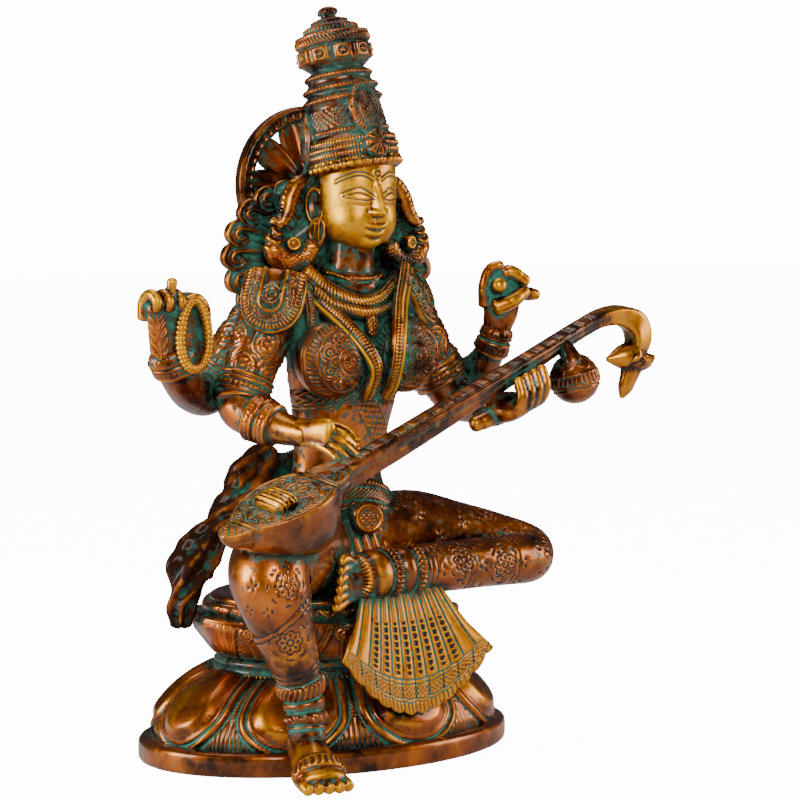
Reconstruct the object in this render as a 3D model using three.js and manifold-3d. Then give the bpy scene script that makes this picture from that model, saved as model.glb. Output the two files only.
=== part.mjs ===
// A cast-brass seated goddess with four arms who plays a veena, on an oval lotus pedestal.
// Millimetres, +Z up, origin at the centre of the plinth's underside. She faces -Y, and +X is her left.
import * as THREE from "three";
import { ParametricGeometry } from "three/addons/geometries/ParametricGeometry.js";
import { SimplifyModifier } from "three/addons/modifiers/SimplifyModifier.js";
import { mergeVertices } from "three/addons/utils/BufferGeometryUtils.js";
import Module from "manifold-3d";

const wasm = await Module();
wasm.setup();

// Pedestal sizes
const PLINTH_LENGTH = 162;
const PLINTH_WIDTH = 112;
const PLINTH_HEIGHT = 9.5;
const PLINTH_EDGE_ROUND = 2;
const DOME_LENGTH = 146;
const DOME_WIDTH = 101;
const DOME_HEIGHT = 24;
const DOME_FOOT_INSET = 1;
const WAIST_LENGTH = 92;
const WAIST_WIDTH = 64;
const WAIST_HEIGHT = 7;
const BEAD_RING_PROUD = 2.6;
const CUP_LENGTH = 118;
const CUP_WIDTH = 84;
const CUP_HEIGHT = 25.5;
const SEAT_LENGTH = 100;
const SEAT_WIDTH = 72;
const SEAT_EDGE_ROUND = 3;
const PETALS = 8;
const PETAL_BULGE = 4;

// Figure, halo and veena sizes
const FIGURE_HEIGHT = 235;
const HALO_DIAMETER = 65;
const HALO_THICKNESS = 3.4;
const HALO_RIM_WIDTH = 7;
const HALO_RIM_THICKNESS = 6;
const HALO_HUB_DIAMETER = 17;
const HALO_SPOKES = 10;
const HALO_SPOKE_WIDTH = 6;
const HALO_PIN_DIAMETER = 7;
const HALO_PIN_LENGTH = 20;
const VEENA_LENGTH = 236;
const VEENA_BOWL_LENGTH = 66;
const VEENA_BOWL_WIDTH = 33;
const VEENA_BOWL_DEPTH = 25;
const VEENA_NECK_WIDTH = 8.6;
const VEENA_NECK_DEPTH = 11;
const VEENA_NECK_RISE = 1.5;
const VEENA_BOARD_CROWN = 1;
const VEENA_FRETS = 20;
const VEENA_FRET_THICKNESS = 1.4;
const VEENA_FRET_HEIGHT = 2;
const VEENA_BRIDGE_HALFS = [5, 7.5, 4];
const VEENA_GOURD_DIAMETER = 21;
const FIT_CLEARANCE = 0.35;

// About how many triangles each finished surface keeps
const FIGURE_TRIANGLES = 5900;
const VEENA_TRIANGLES = 1300;
const PEDESTAL_TRIANGLES = 1280;
// The half thickness of the beads that join folds of a surface which meet along an edge
const BEAD_RADIUS = 0.4;

const SEAT_HEIGHT = PLINTH_HEIGHT + DOME_HEIGHT + WAIST_HEIGHT + CUP_HEIGHT;

// Turns a three.js geometry into a solid: vertices merged, collapsed faces dropped, faces turned out.
function solid(geometry) {
  const bare = (geometry.index ? geometry.toNonIndexed() : geometry).clone();
  for (const name of Object.keys(bare.attributes)) {
    if (name !== "position") bare.deleteAttribute(name);
  }
  const merged = mergeVertices(bare, 1e-4);
  const corners = merged.index.array;
  const kept = [];
  for (let i = 0; i < corners.length; i += 3) {
    const [a, b, c] = [corners[i], corners[i + 1], corners[i + 2]];
    if (a !== b && b !== c && a !== c) kept.push(a, b, c);
  }
  const build = (triVerts) =>
    new wasm.Manifold(
      new wasm.Mesh({
        numProp: 3,
        vertProperties: new Float32Array(merged.attributes.position.array),
        triVerts: new Uint32Array(triVerts),
      }),
    );
  const made = build(kept);
  return made.volume() > 0 ? made : build(kept.toReversed());
}

const union = (solids) => solids.reduce((sum, next) => sum.add(next));

// The outer skin of the biggest body, without sealed hollows or loose slivers.
const outerSkin = (made) =>
  made.decompose().reduce((biggest, next) => (next.volume() > biggest.volume() ? next : biggest));

// A solid's surface as a geometry.
function surface(made) {
  const { vertProperties, triVerts } = made.getMesh();
  const geometry = new THREE.BufferGeometry();
  geometry.setAttribute("position", new THREE.BufferAttribute(vertProperties, 3));
  geometry.setIndex(new THREE.BufferAttribute(triVerts, 1));
  return geometry;
}

// A surface without the folds that are pressed flat, where two faces lie back to back.
function unfolded(geometry) {
  const merged = mergeVertices(geometry, 1e-4);
  const corners = merged.index.array;
  const faces = new Map();
  for (let i = 0; i < corners.length; i += 3) {
    const face = [...corners.slice(i, i + 3)];
    const key = face.toSorted((a, b) => a - b).join();
    if (faces.has(key)) faces.delete(key);
    else if (new Set(face).size === 3) faces.set(key, face);
  }
  return merged.setIndex([...faces.values()].flat());
}

// The edges of a surface that more than two faces share, each as its two ends.
function pinches(geometry) {
  const { index, attributes } = unfolded(geometry);
  const counts = new Map();
  index.array.forEach((corner, i) => {
    const next = index.array[i % 3 === 2 ? i - 2 : i + 1];
    const edge = [Math.min(corner, next), Math.max(corner, next)].join();
    counts.set(edge, (counts.get(edge) ?? 0) + 1);
  });
  const shared = [...counts.keys()].filter((edge) => counts.get(edge) > 2);
  return shared.map((edge) =>
    edge.split(",").map((corner) => new THREE.Vector3().fromBufferAttribute(attributes.position, corner)),
  );
}

// A solid with a thin bead along each edge where two folds of its surface meet.
function beaded(made) {
  const beads = pinches(surface(made)).map(([from, to]) => {
    const along = to.clone().sub(from).setLength(BEAD_RADIUS);
    const ends = [from.clone().sub(along), to.clone().add(along)];
    return limb(
      ends.map((end) => [...end.toArray(), BEAD_RADIUS]),
      { sides: 4, side: Math.abs(along.x) < 0.7 * BEAD_RADIUS ? [1, 0, 0] : [0, 1, 0] },
    );
  });
  return union([made, ...beads]);
}

// A solid with about so many triangles, losing first the vertices that shape it least.
async function thinned(made, triangles) {
  const geometry = surface(made);
  const count = geometry.attributes.position.count;
  const surplus = Math.max(0, Math.round(count * (1 - triangles / made.numTri())));
  const fewer = await new SimplifyModifier().modify(geometry, surplus);
  return outerSkin(beaded(solid(unfolded(fewer))));
}

// A solid as a named mesh with a material.
function meshOf(name, made, material) {
  const mesh = new THREE.Mesh(surface(made), material);
  mesh.name = name;
  return mesh;
}

// A closed skin of rings: place(row, column) gives each point, and both ends close on their middles.
function skin(rows, columns, place) {
  const middle = (row) => {
    const sum = new THREE.Vector3();
    for (let column = 0; column < columns; column++) sum.add(place(row, column));
    return sum.divideScalar(columns);
  };
  const ends = new Map([[0, middle(0)], [rows + 1, middle(rows - 1)]]);
  const point = (u, v, target) => {
    const row = Math.round(v * (rows + 1));
    const column = Math.round(u * columns) % columns;
    target.copy(ends.get(row) ?? place(row - 1, column));
  };
  return solid(new ParametricGeometry(point, columns, rows + 1));
}

// A limb: oval rings along a smooth curve through stations [x, y, z, halfWidth, halfThickness].
// The width lies along the side direction. The first end is flat and the last one rounded.
// A cuff [place, half, proud] stands proud of the limb around a place counted in stations.
function limb(stations, { sides = 8, steps = 1, side = [1, 0, 0], round = 0.6, cuffs = [] } = {}) {
  const last = stations.length - 1;
  const path = new THREE.CatmullRomCurve3(
    stations.map(([x, y, z]) => new THREE.Vector3(x, y, z)),
    false,
    "centripetal",
  );
  const across = new THREE.Vector3(...side);
  const sizeAt = (place, wide) => {
    const before = Math.min(Math.floor(place), last - 1);
    const size = (index) => stations[index][wide ? 3 : 4] ?? stations[index][3];
    return THREE.MathUtils.lerp(size(before), size(before + 1), place - before);
  };
  const plain = Array.from({ length: last * steps + 1 }, (_, i) => i / steps)
    .filter((place) => !cuffs.some(([at, half]) => Math.abs(place - at) < half * 1.6))
    .map((place) => ({ place, grow: 0 }));
  const raised = cuffs.flatMap(([at, half, proud]) => [
    { place: at - half, grow: 0 },
    { place: at - half * 0.6, grow: proud },
    { place: at + half * 0.6, grow: proud },
    { place: at + half, grow: 0 },
  ]);
  const along = [...plain, ...raised].sort((a, b) => a.place - b.place);
  const rings = [...along, { place: last, grow: 0, end: 1 }];
  return skin(rings.length, sides, (row, column) => {
    const { place, grow, end = 0 } = rings[row];
    const forward = path.getTangent(place / last);
    const right = across.clone().addScaledVector(forward, -across.dot(forward)).normalize();
    const up = new THREE.Vector3().crossVectors(forward, right);
    const [wide, thick] = [sizeAt(place, true) + grow, sizeAt(place, false) + grow];
    const angle = ((column + 0.5) / sides) * 2 * Math.PI;
    const shrink = end ? 0.6 : 1;
    return path
      .getPoint(place / last)
      .addScaledVector(forward, end * round * Math.min(wide, thick))
      .addScaledVector(right, shrink * wide * Math.cos(angle))
      .addScaledVector(up, shrink * thick * Math.sin(angle));
  });
}

// An ellipsoid with half sizes [a, b, c], turned by an Euler angle in degrees.
function blob([x, y, z], [a, b, c], { turn = [0, 0, 0], around = 10, rows = 5 } = {}) {
  const euler = new THREE.Euler(...turn.map(THREE.MathUtils.degToRad));
  return skin(rows, around, (row, column) => {
    const polar = ((row + 1) / (rows + 1)) * Math.PI;
    const angle = (column / around) * 2 * Math.PI;
    const out = Math.sin(polar);
    return new THREE.Vector3(-a * out * Math.cos(angle), b * out * Math.sin(angle), -c * Math.cos(polar))
      .applyEuler(euler)
      .add(new THREE.Vector3(x, y, z));
  });
}

// A ring of square-ish section around a limb, at a centre, facing a direction.
function band([x, y, z], facing, radius, tube, { wide = 1, around = 10, side = [1, 0, 0] } = {}) {
  const axis = new THREE.Vector3(...facing).normalize();
  const right = new THREE.Vector3(...side);
  right.addScaledVector(axis, -right.dot(axis)).normalize();
  const up = new THREE.Vector3().crossVectors(axis, right);
  const geometry = new THREE.TorusGeometry(radius, tube, 3, around);
  geometry.scale(wide, 1, 1.3).applyMatrix4(new THREE.Matrix4().makeBasis(right, up, axis));
  geometry.translate(x, y, z);
  return solid(closeSeam(geometry));
}

// Snaps positions to a fine grid, so that the first and last column of a wrapped surface meet.
function closeSeam(geometry) {
  const array = geometry.attributes.position.array;
  for (let i = 0; i < array.length; i++) array[i] = Math.round(array[i] * 2048) / 2048;
  return geometry;
}

// A closed oval turning: rows of half length a, half width b and height z, with an outset that may
// follow the row and the angle.
function ovalLathe(rows, around, outset = () => 0) {
  const point = (u, v, target) => {
    const row = rows[Math.round(v * (rows.length - 1))];
    const angle = u * 2 * Math.PI;
    const grow = row.a > 0 ? 1 + outset(row, angle) / row.a : 1;
    target.set(row.a * grow * Math.cos(angle), row.b * grow * Math.sin(angle), row.z);
  };
  return solid(closeSeam(new ParametricGeometry(point, around, rows.length - 1)));
}

// The pedestal: plinth, a dome of drooping petals, a bead ring and a cup of rising petals.
function pedestal(gap = 0) {
  const [plinth, dome, waist, cup, seat] = [
    [PLINTH_LENGTH, PLINTH_WIDTH],
    [DOME_LENGTH, DOME_WIDTH],
    [WAIST_LENGTH, WAIST_WIDTH],
    [CUP_LENGTH, CUP_WIDTH],
    [SEAT_LENGTH, SEAT_WIDTH],
  ];
  const domeTop = PLINTH_HEIGHT + DOME_HEIGHT;
  const cupFoot = domeTop + WAIST_HEIGHT;
  const row = ([length, width], z, { inset = 0, bulge = 0 } = {}) => ({
    a: length / 2 - inset + gap,
    b: width / 2 - inset + gap,
    z,
    bulge,
  });
  const blend = (from, to, share) => from.map((size, i) => THREE.MathUtils.lerp(size, to[i], share));
  // Petal rows: the share of the way to the next size, the share of the height, and the bulge.
  const drooping = [
    [0.02, 0.12, 1], [0.13, 0.4, 1], [0.34, 0.68, 0.8], [0.62, 0.88, 0.45], [0.92, 0.99, 0.1],
  ];
  const rising = [[0.1, 0.06, 0.1], [0.42, 0.3, 0.6], [0.85, 0.52, 1], [1, 0.62, 1.1], [0.84, 0.68, 0.2]];
  const beadRing = [[0, 0.15], [1, 0.35], [1, 0.6], [0, 0.85]];
  const rows = [
    { a: 0, b: 0, z: -gap, bulge: 0 },
    row(plinth, -gap, { inset: PLINTH_EDGE_ROUND }),
    row(plinth, PLINTH_EDGE_ROUND),
    row(plinth, PLINTH_HEIGHT - PLINTH_EDGE_ROUND),
    row(plinth, PLINTH_HEIGHT + gap, { inset: PLINTH_EDGE_ROUND }),
    row(dome, PLINTH_HEIGHT + gap, { inset: DOME_FOOT_INSET }),
    ...drooping.map(([share, rise, bulge]) =>
      row(blend(dome, waist, share), PLINTH_HEIGHT + rise * DOME_HEIGHT + gap, { bulge }),
    ),
    ...beadRing.map(([proud, rise]) =>
      row(waist, domeTop + rise * WAIST_HEIGHT, { inset: -proud * BEAD_RING_PROUD }),
    ),
    ...rising.map(([share, rise, bulge]) =>
      row(blend(waist, cup, share), cupFoot + rise * CUP_HEIGHT + gap, { bulge }),
    ),
    row(seat, SEAT_HEIGHT - SEAT_EDGE_ROUND + gap, { inset: -SEAT_EDGE_ROUND / 2 }),
    row(seat, SEAT_HEIGHT + gap),
    { a: 0, b: 0, z: SEAT_HEIGHT + gap, bulge: 0 },
  ];
  const petal = (angle) => Math.abs(Math.cos((PETALS / 2) * angle)) ** 0.7 - 0.55;
  return ovalLathe(rows, PETALS * 6, ({ bulge }, angle) => bulge * PETAL_BULGE * petal(angle));
}

// The figure is drawn 235 mm tall above a seat at 66 mm, and is scaled from there.
const DRAWN_HEIGHT = 235;
const DRAWN_SEAT = 66;
const FIGURE_SCALE = FIGURE_HEIGHT / DRAWN_HEIGHT;
const toSeat = (made) =>
  made.translate([0, 0, -DRAWN_SEAT]).scale(FIGURE_SCALE).translate([0, 0, SEAT_HEIGHT]);
// A place given in real millimetres, as the drawn place that the scaling takes there.
const drawnFor = ([x, y, z]) => [
  x / FIGURE_SCALE,
  y / FIGURE_SCALE,
  (z - SEAT_HEIGHT) / FIGURE_SCALE + DRAWN_SEAT,
];

// Hips, waist, chest, shoulders and neck in one loft, with a raised girdle and collar, and the breasts.
function torso() {
  const trunk = limb(
    [
      [4, 2, 62, 30, 24],
      [4, 1, 80, 31, 23],
      [5, 0, 96, 26, 18],
      [5, -1, 112, 20, 13.5],
      [6, -2, 128, 20.5, 14],
      [7, -3, 146, 24, 16],
      [8, -4, 165, 28, 16],
      [8, -3, 178, 30, 13],
      [9, -4, 188, 17, 10],
      [9, -5, 197, 9.5, 9.5],
      [9.5, -6, 207, 9.5, 9.5],
    ],
    { sides: 16, steps: 2, cuffs: [[2.15, 0.16, 2.4], [2.7, 0.14, 2.2]] },
  );
  const breasts = [-1, 1].flatMap((turn) => [
    blob([8 + turn * 17.5, -19, 161], [14.5, 14, 15], { around: 12, rows: 6 }),
    blob([8 + turn * 17.8, -32.6, 161.5], [4, 2.2, 4], { around: 6, rows: 2 }),
  ]);
  return [trunk, ...breasts];
}

// Head with nose, lips, brows, eyes, chin and ears, and a hooked ornament hanging from each ear.
function head() {
  const skull = limb(
    [
      [10, -14, 202, 4, 4],
      [10, -12, 206, 10.5, 9.5],
      [10, -10, 212, 13.5, 13.5],
      [10, -9, 219, 15.5, 16.5],
      [10, -8, 228, 16, 17],
      [10, -8, 238, 16, 16],
    ],
    { sides: 14, steps: 2 },
  );
  const nose = limb([[10, -24.5, 227, 1.5, 1.2], [10, -27, 217, 3.1, 2.2]], { sides: 5 });
  const lips = blob([10, -23.6, 211.5], [5, 2.4, 2.3], { around: 6, rows: 2 });
  const chin = blob([10, -21, 205.5], [4.5, 3, 3.5], { around: 6, rows: 2 });
  const sides = [-1, 1].flatMap((turn) => {
    const hook = [
      [17, 2, 229, 2], [24, 2, 228, 3.2], [29, 1, 222, 3.6], [32, 0, 214, 3.8],
      [34, 0, 206, 4.6], [30, 0, 200, 4.8], [22, 0, 199.5, 4], [19, 0, 205, 2.6],
    ];
    return [
      blob([10 + turn * 7, -22.2, 223.5], [4.6, 2.6, 2], { around: 6, rows: 2, turn: [0, 0, turn * 18] }),
      limb([[10 + turn * 2, -25, 227, 1], [10 + turn * 7, -24, 229.5, 1], [10 + turn * 12, -19, 227, 1]], {
        sides: 4,
        side: [0, 0, 1],
      }),
      blob([10 + turn * 16.5, 0, 219], [2.6, 4.5, 9.5], { around: 5, rows: 3 }),
      limb(hook.map(([x, y, z, r]) => [10 + turn * x, y, z, r]), { sides: 5, side: [0, 1, 0] }),
    ];
  });
  return [skull, nose, lips, chin, ...sides];
}

// The crown: round tiers that lean back a little, a fluted block, a knob and upright leaves.
function crown() {
  const rows = [
    [0, -1], [18, -1], [19.6, 1], [19.6, 3], [18.4, 4.4], [19, 8], [18, 12],
    [16.8, 14], [14.8, 26], [16.4, 28], [14.6, 31], [15.4, 33.5], [13.2, 36.4], [13.8, 38.4],
    [10.6, 42], [14.6, 45.6], [15.4, 49], [15, 54], [11.2, 58], [11.4, 60.4], [7, 62.2],
    [3.2, 63.8], [4.4, 65.4], [0, 67.8],
  ];
  const tiers = ovalLathe(
    rows.map(([radius, z]) => ({ a: radius, b: radius, z, flutes: z > 44 && z < 56 ? 0.5 : 0 })),
    24,
    ({ flutes }, angle) => flutes * (Math.cos(12 * angle) - 0.6),
  );
  const leaf = (angle, foot, tall, wide) => {
    const at = (height) => {
      const out = 18.4 - 0.12 * height;
      return [out * Math.cos(angle), out * Math.sin(angle), height];
    };
    return limb(
      [[...at(foot), wide * 0.6, 2.2], [...at(foot + tall * 0.35), wide, 3], [...at(foot + tall), 1.2, 1.6]],
      { sides: 5, side: [-Math.sin(angle), Math.cos(angle), 0] },
    );
  };
  const front = -Math.PI / 2;
  const jewel = blob([0, -19.5, 7], [5.6, 3.6, 5.6], { around: 6, rows: 2 });
  const leaves = [leaf(front, 10, 24, 7.5), leaf(front - 1.25, 8, 19, 6.5), leaf(front + 1.25, 8, 19, 6.5)];
  const lean = new THREE.Quaternion().setFromUnitVectors(
    new THREE.Vector3(0, 0, 1),
    new THREE.Vector3(-6, 11, 64.6).normalize(),
  );
  const pose = new THREE.Matrix4().compose(
    new THREE.Vector3(10, -7, 234.6),
    lean,
    new THREE.Vector3(1, 1, 1),
  );
  return [union([tiers, jewel, ...leaves]).transform(pose.toArray())];
}

// Locks of hair that fan out behind each ear and roll up at their ends, and hair down the back.
function hair() {
  const locks = [-1, 1].flatMap((turn) =>
    [0, 1, 2, 3, 4].map((place) => {
      const angle = (turn < 0 ? 1.05 : 0.8) - 0.3 * place;
      const out = new THREE.Vector3(turn * Math.cos(angle), 0, Math.sin(angle));
      const across = new THREE.Vector3(turn * Math.sin(angle), 0, -Math.cos(angle));
      const reach = 31 + 12 * Math.sin(0.55 * place);
      const spot = (far, aside, deep) =>
        new THREE.Vector3(5, deep, 198).addScaledVector(out, far).addScaledVector(across, aside).toArray();
      return limb(
        [
          [...spot(10, 0, 9), 5],
          [...spot(reach * 0.6, -3, 9), 5.4],
          [...spot(reach, -3, 8), 5],
          [...spot(reach + 6, 3, 7), 4.4],
          [...spot(reach, 6, 5), 3.4],
        ],
        { sides: 6, steps: 2, side: [0, 1, 0] },
      );
    }),
  );
  const back = limb(
    [[9, 5, 236, 14, 10], [9, 6, 216, 19, 12], [8, 9, 200, 27, 8], [8, 13, 184, 25, 6], [8, 14, 172, 12, 4]],
    { sides: 12, steps: 2 },
  );
  return [...locks, back];
}

// Shoulder plates, collar, bead straps between the breasts, and the clasp and knot of the girdle.
function ornaments() {
  const plates = [
    blob([-33, -13, 184], [13.5, 5, 12.5], { turn: [-22, -18, -22], around: 12, rows: 3 }),
    blob([38.5, -9, 182.5], [12, 5, 12.5], { turn: [-22, 28, 30], around: 12, rows: 3 }),
  ];
  const collar = [
    band([9, -6, 190.5], [0, -0.55, 1], 14.5, 2.6, { wide: 1.15 }),
    band([9, -6, 184.5], [0, -0.5, 1], 20, 2.8, { wide: 1.15 }),
  ];
  const straps = [-1, 1].map((turn) =>
    limb(
      [
        [9 + turn * 17, -17, 181, 2.6, 2],
        [9 + turn * 7, -23, 170, 2.6, 2],
        [8 + turn * 2.8, -24, 156, 2.4, 2],
        [7 + turn * 6, -19, 141, 2, 1.6],
      ],
      { sides: 4 },
    ),
  );
  const clasp = blob([2, -21, 102], [6.5, 4, 6.5], { around: 6, rows: 2 });
  const knot = limb([[1, -23, 98, 4.5, 3], [0, -28, 90, 6, 3.4], [-1, -31, 82, 7.5, 3.2]], { sides: 6 });
  return [...plates, ...collar, ...straps, clasp, knot];
}

// A finger through given places, thinner towards its tip.
const finger = (places, thick = 2) =>
  limb(
    places.map((place, i) => [...place, thick * (1 - 0.12 * i)]),
    { sides: 6, steps: 2, side: [0.3, 0.7, 0.64] },
  );

// Her right arms: the front hand plucks the strings, and the rear hand holds a book stem and beads.
function rightArms() {
  const frontArm = limb(
    [
      [-27, -5, 181, 10.5], [-34, -6, 166, 11], [-41, -7, 151, 10], [-44, -9, 142, 9.4],
      [-40, -18, 137, 8], [-35, -29, 133.6, 6.2], [-31.6, -40, 132.4, 4.8, 5.4], [-29.4, -50, 131.4, 4, 6.8],
      [-28.8, -56, 130.6, 3.4, 7],
    ],
    { sides: 10, steps: 2, side: [0, 0.3, 1], cuffs: [[1.35, 0.2, 1.6], [4.55, 0.4, 1.8]] },
  );
  const frontFingers = [0, 1, 2, 3].map((place) => {
    const [x, y] = [-34 + place * 3.5, -Math.abs(place - 2) * -0.6 - 58];
    return finger([[x, y, 130.6], [x, y - 3.6, 127.6], [x - 0.4, y - 4.8, 123.6]]);
  });
  const frontThumb = finger([[-26, -48, 131], [-21, -52, 131.4], [-19.5, -58, 129]], 2.2);
  const rearArm = limb(
    [
      [-26, 3, 180, 10], [-36, 6, 165, 10.4], [-45, 8, 152, 9.6], [-51, 7, 146.5, 9],
      [-59, 2, 147.5, 8.4], [-67.5, -6, 152, 7], [-75, -12, 158, 5.8], [-80, -14.5, 165, 5, 7],
      [-83, -16, 175, 4.8, 8.4], [-84, -17, 184, 4, 7.4],
    ],
    { sides: 10, steps: 2, side: [0, 1, 0.2], cuffs: [[1.45, 0.2, 1.6], [6, 0.3, 2.2]] },
  );
  const rearFingers = [0, 1, 2, 3].map((place) => {
    const [x, y] = [-89 + place * 3.8, -15 + place * 1.2];
    return finger([[x, y, 183], [x - 0.4, y - 4, 187.5], [x + 0.6, y - 8, 185]], 2.2);
  });
  const rearThumb = finger([[-76, -17, 168], [-73.5, -21.5, 175], [-76, -24, 181]], 2.2);
  const stem = limb([[-78, -21, 184, 1.9], [-77.5, -21, 193, 2.1]], { sides: 5 });
  const rosary = skin(5, 12, (row, column) => {
    const [reach, deep] = [[0.62, -1], [0.8, -3], [1, -2.4], [1, 1], [0.8, 3]][row];
    const angle = (column / 12) * 2 * Math.PI;
    const x = 8.6 * reach * Math.sin(angle) * (1 - 0.15 * Math.cos(angle));
    return new THREE.Vector3(-72.6 + x, -21 + 0.3 * x + deep, 171.4 + 15.4 * reach * Math.cos(angle));
  });
  return [frontArm, ...frontFingers, frontThumb, rearArm, ...rearFingers, rearThumb, stem, rosary];
}

// Her left arms: the front hand holds the neck of the veena, and the rear hand is raised, half closed.
function leftArms() {
  const frontArm = limb(
    [
      [35, -5, 181, 10], [40.5, -6, 171, 10], [46.5, -7, 160, 9.8], [54, -8, 147, 9.4],
      [58, -12, 141, 8.8], [58, -22, 139, 7.4], [57, -32, 138.4, 5.8], [56.5, -40, 138, 4.8, 5.8],
      [58.5, -47, 139, 4.4, 7.4], [62, -50.5, 140.6, 3.6, 7],
    ],
    { sides: 10, steps: 2, side: [0, 0.3, 1], cuffs: [[2.2, 0.2, 1.6], [6, 0.3, 2]] },
  );
  const frontFingers = [0, 1, 2, 3].map((place) => {
    const [x, z] = [60 + place * 3.9, 140 + place * 1.5];
    return finger([[x - 1, -50, z], [x, -54.6, z + 5], [x - 0.6, -54.4, z + 13]], 2.4);
  });
  const frontThumb = finger([[56, -44, 139], [51, -43, 136.6], [48, -42, 135]], 3);
  const rearArm = limb(
    [
      [32, 3, 181, 9.5], [41.5, 5, 168, 10], [51, 6, 156, 9.6], [60, 4, 148, 9],
      [66.5, -2, 148.5, 8.4], [69, -10, 153, 7.4], [69.5, -17, 160, 6.4], [70.5, -20.5, 168, 5, 6],
      [72.5, -21.5, 177, 5, 8], [73.5, -22, 184, 5, 8.8],
    ],
    { sides: 10, steps: 2, side: [0, 1, 0.2], cuffs: [[1.45, 0.2, 1.6], [6, 0.5, 2.2]] },
  );
  const rearFingers = [
    finger([[66.5, -21, 185], [66, -22, 191], [68.5, -25, 196]], 2.6),
    finger([[71, -21, 186], [72, -23, 191], [74.5, -28, 188]], 2.4),
    finger([[75.5, -22, 187], [78, -23, 192], [81, -27, 189]], 2.6),
    finger([[79, -22, 185], [82, -23, 189], [84, -27, 186]], 2.5),
    finger([[77, -24, 176], [80, -29, 180], [86, -29, 182]], 2.8),
  ];
  const held = blob([76, -28, 185], [6, 4.4, 6.5], { around: 6, rows: 3 });
  return [frontArm, ...frontFingers, frontThumb, rearArm, ...rearFingers, held];
}

// The right leg hangs down in front of the plinth, and the left one lies folded across the seat.
function legs() {
  const heel = drawnFor([-46.5, -PLINTH_WIDTH / 2 - 7, 19]);
  const ball = drawnFor([-48.5, -PLINTH_WIDTH / 2 - 18, 7.8]);
  const toes = drawnFor([-49.5, -PLINTH_WIDTH / 2 - 29, 4.2]);
  const rightLeg = limb(
    [
      [-12, -6, 84, 19], [-32, -28, 86, 19], [-51, -48, 85, 17.5], [-61, -60, 81, 15.6],
      [-60.5, -63, 73, 14], [-57, -62.5, 63, 12], [-52, -62, 50, 9.8], [-48.5, -61, 40, 8.2],
      [-46.5, -61, 31, 7], [...heel, 7, 8],
    ],
    { sides: 12, steps: 2, cuffs: [[7.5, 0.2, 1.6], [8.3, 0.3, 2]] },
  );
  const rightFoot = limb(
    [
      [heel[0], heel[1] + 2, heel[2] - 2, 7, 8],
      [...ball, 9, 6],
      [toes[0], toes[1] + 6, toes[2] + 0.5, 10.5, 4.4],
    ],
    { sides: 7 },
  );
  const rightToes = [0, 1, 2, 3, 4].map((place) => {
    const [x, y] = [toes[0] + (place - 2) * 4.3, toes[1] + Math.abs(place - 3) * 0.9];
    const root = [x * 0.3 + ball[0] * 0.7, y + 9, toes[2] + 0.4];
    return limb([[...root, 2.4], [x, y, toes[2] - 0.6, 2.6]], { sides: 4 });
  });
  const leftLeg = limb(
    [
      [16, -2, 84, 18], [38, -4, 87, 16.5], [56, -9, 84, 14.5], [73, -16, 80.5, 12.5], [83, -24, 77.5, 11],
      [79, -31, 75.6, 10.4], [66, -34, 75.6, 10.2], [50, -35.5, 75.8, 10.1], [36, -37, 75.8, 10.1],
      [22, -38, 76, 9], [9, -39.5, 76.2, 7.8],
    ],
    { sides: 12, steps: 2, side: [0, 0, 1], cuffs: [[8.2, 0.14, 1.8], [8.8, 0.14, 2], [9.4, 0.2, 2]] },
  );
  const leftFoot = limb([[10, -39.5, 76.2, 7.4, 8], [0, -41, 75.6, 8.6, 7], [-12, -43, 74.6, 9.6, 5]], {
    sides: 7,
    side: [0, 0, 1],
  });
  const leftToes = [0, 1, 2, 3, 4].map((place) => {
    const z = 83.4 - place * 4;
    const tip = [place * 0.9 - 22, -45.5, z - 0.5];
    return limb([[-11, -44, 0.35 * z + 49, 2.5], [...tip, 2.5]], { sides: 4, side: [0, 1, 0] });
  });
  return [rightLeg, rightFoot, ...rightToes, leftLeg, leftFoot, ...leftToes];
}

// The pleated cloth that falls from the seat as an open fan, with a scalloped edge.
function fan() {
  const pleats = 10;
  const columns = pleats * 2;
  const down = 3;
  return skin(columns + 1, 2 * (down + 1), (row, column) => {
    const across = row / columns - 0.5;
    const front = column <= down;
    const fall = (front ? column : 2 * down + 1 - column) / down;
    const spread = 34 + 36 * fall ** 0.85;
    const ridge = row % 2;
    const drop = 50 - 96 * across * across * fall + 2.6 * ridge * Math.floor(fall);
    const lift = (front ? -1.9 : 1.4) - (front ? 1.9 : 0.6) * ridge * Math.min(1, 0.3 + fall);
    return new THREE.Vector3(
      8.5 + across * spread,
      -42.5 - 13 * Math.sin(fall * 1.4) + lift - 3 * across * across * fall,
      72 - drop * fall,
    );
  });
}

// The wavy end of the sash: a broad cloth at her hip that narrows, swells and ends in a point, and
// the folds that join it to her waist.
function sash() {
  const fall = limb(
    [
      [-22.1, 9, 122.1, 4, 2.8], [-25.9, 9, 115.8, 9.7, 3], [-29.6, 9, 109.6, 11.7, 3],
      [-34.8, 8, 103.5, 9.6, 3], [-42.4, 6, 97.3, 6.4, 3], [-49, 4, 92, 5.4, 3],
      [-54.6, 3, 86.1, 8.3, 2.8], [-61.5, 2, 77.1, 8.7, 2.6], [-62.9, 2, 69.3, 6, 2.6],
      [-65.2, 2, 62.3, 4.4, 2.4], [-65.2, 2, 55.2, 2.4, 2],
    ],
    { sides: 6, side: [0.84, -0.54, 0] },
  );
  const folds = limb(
    [[-4, 9, 112, 11, 4], [-20, 10, 110.5, 11, 4], [-33, 9.5, 106, 8, 3]],
    { sides: 6, side: [0, 0, 1] },
  );
  return [fall, folds];
}

const figureSolid = () =>
  toSeat(
    union([
      ...torso(), ...head(), ...crown(), ...hair(), ...ornaments(),
      ...rightArms(), ...leftArms(), ...legs(), fan(), ...sash(),
    ]),
  );

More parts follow.
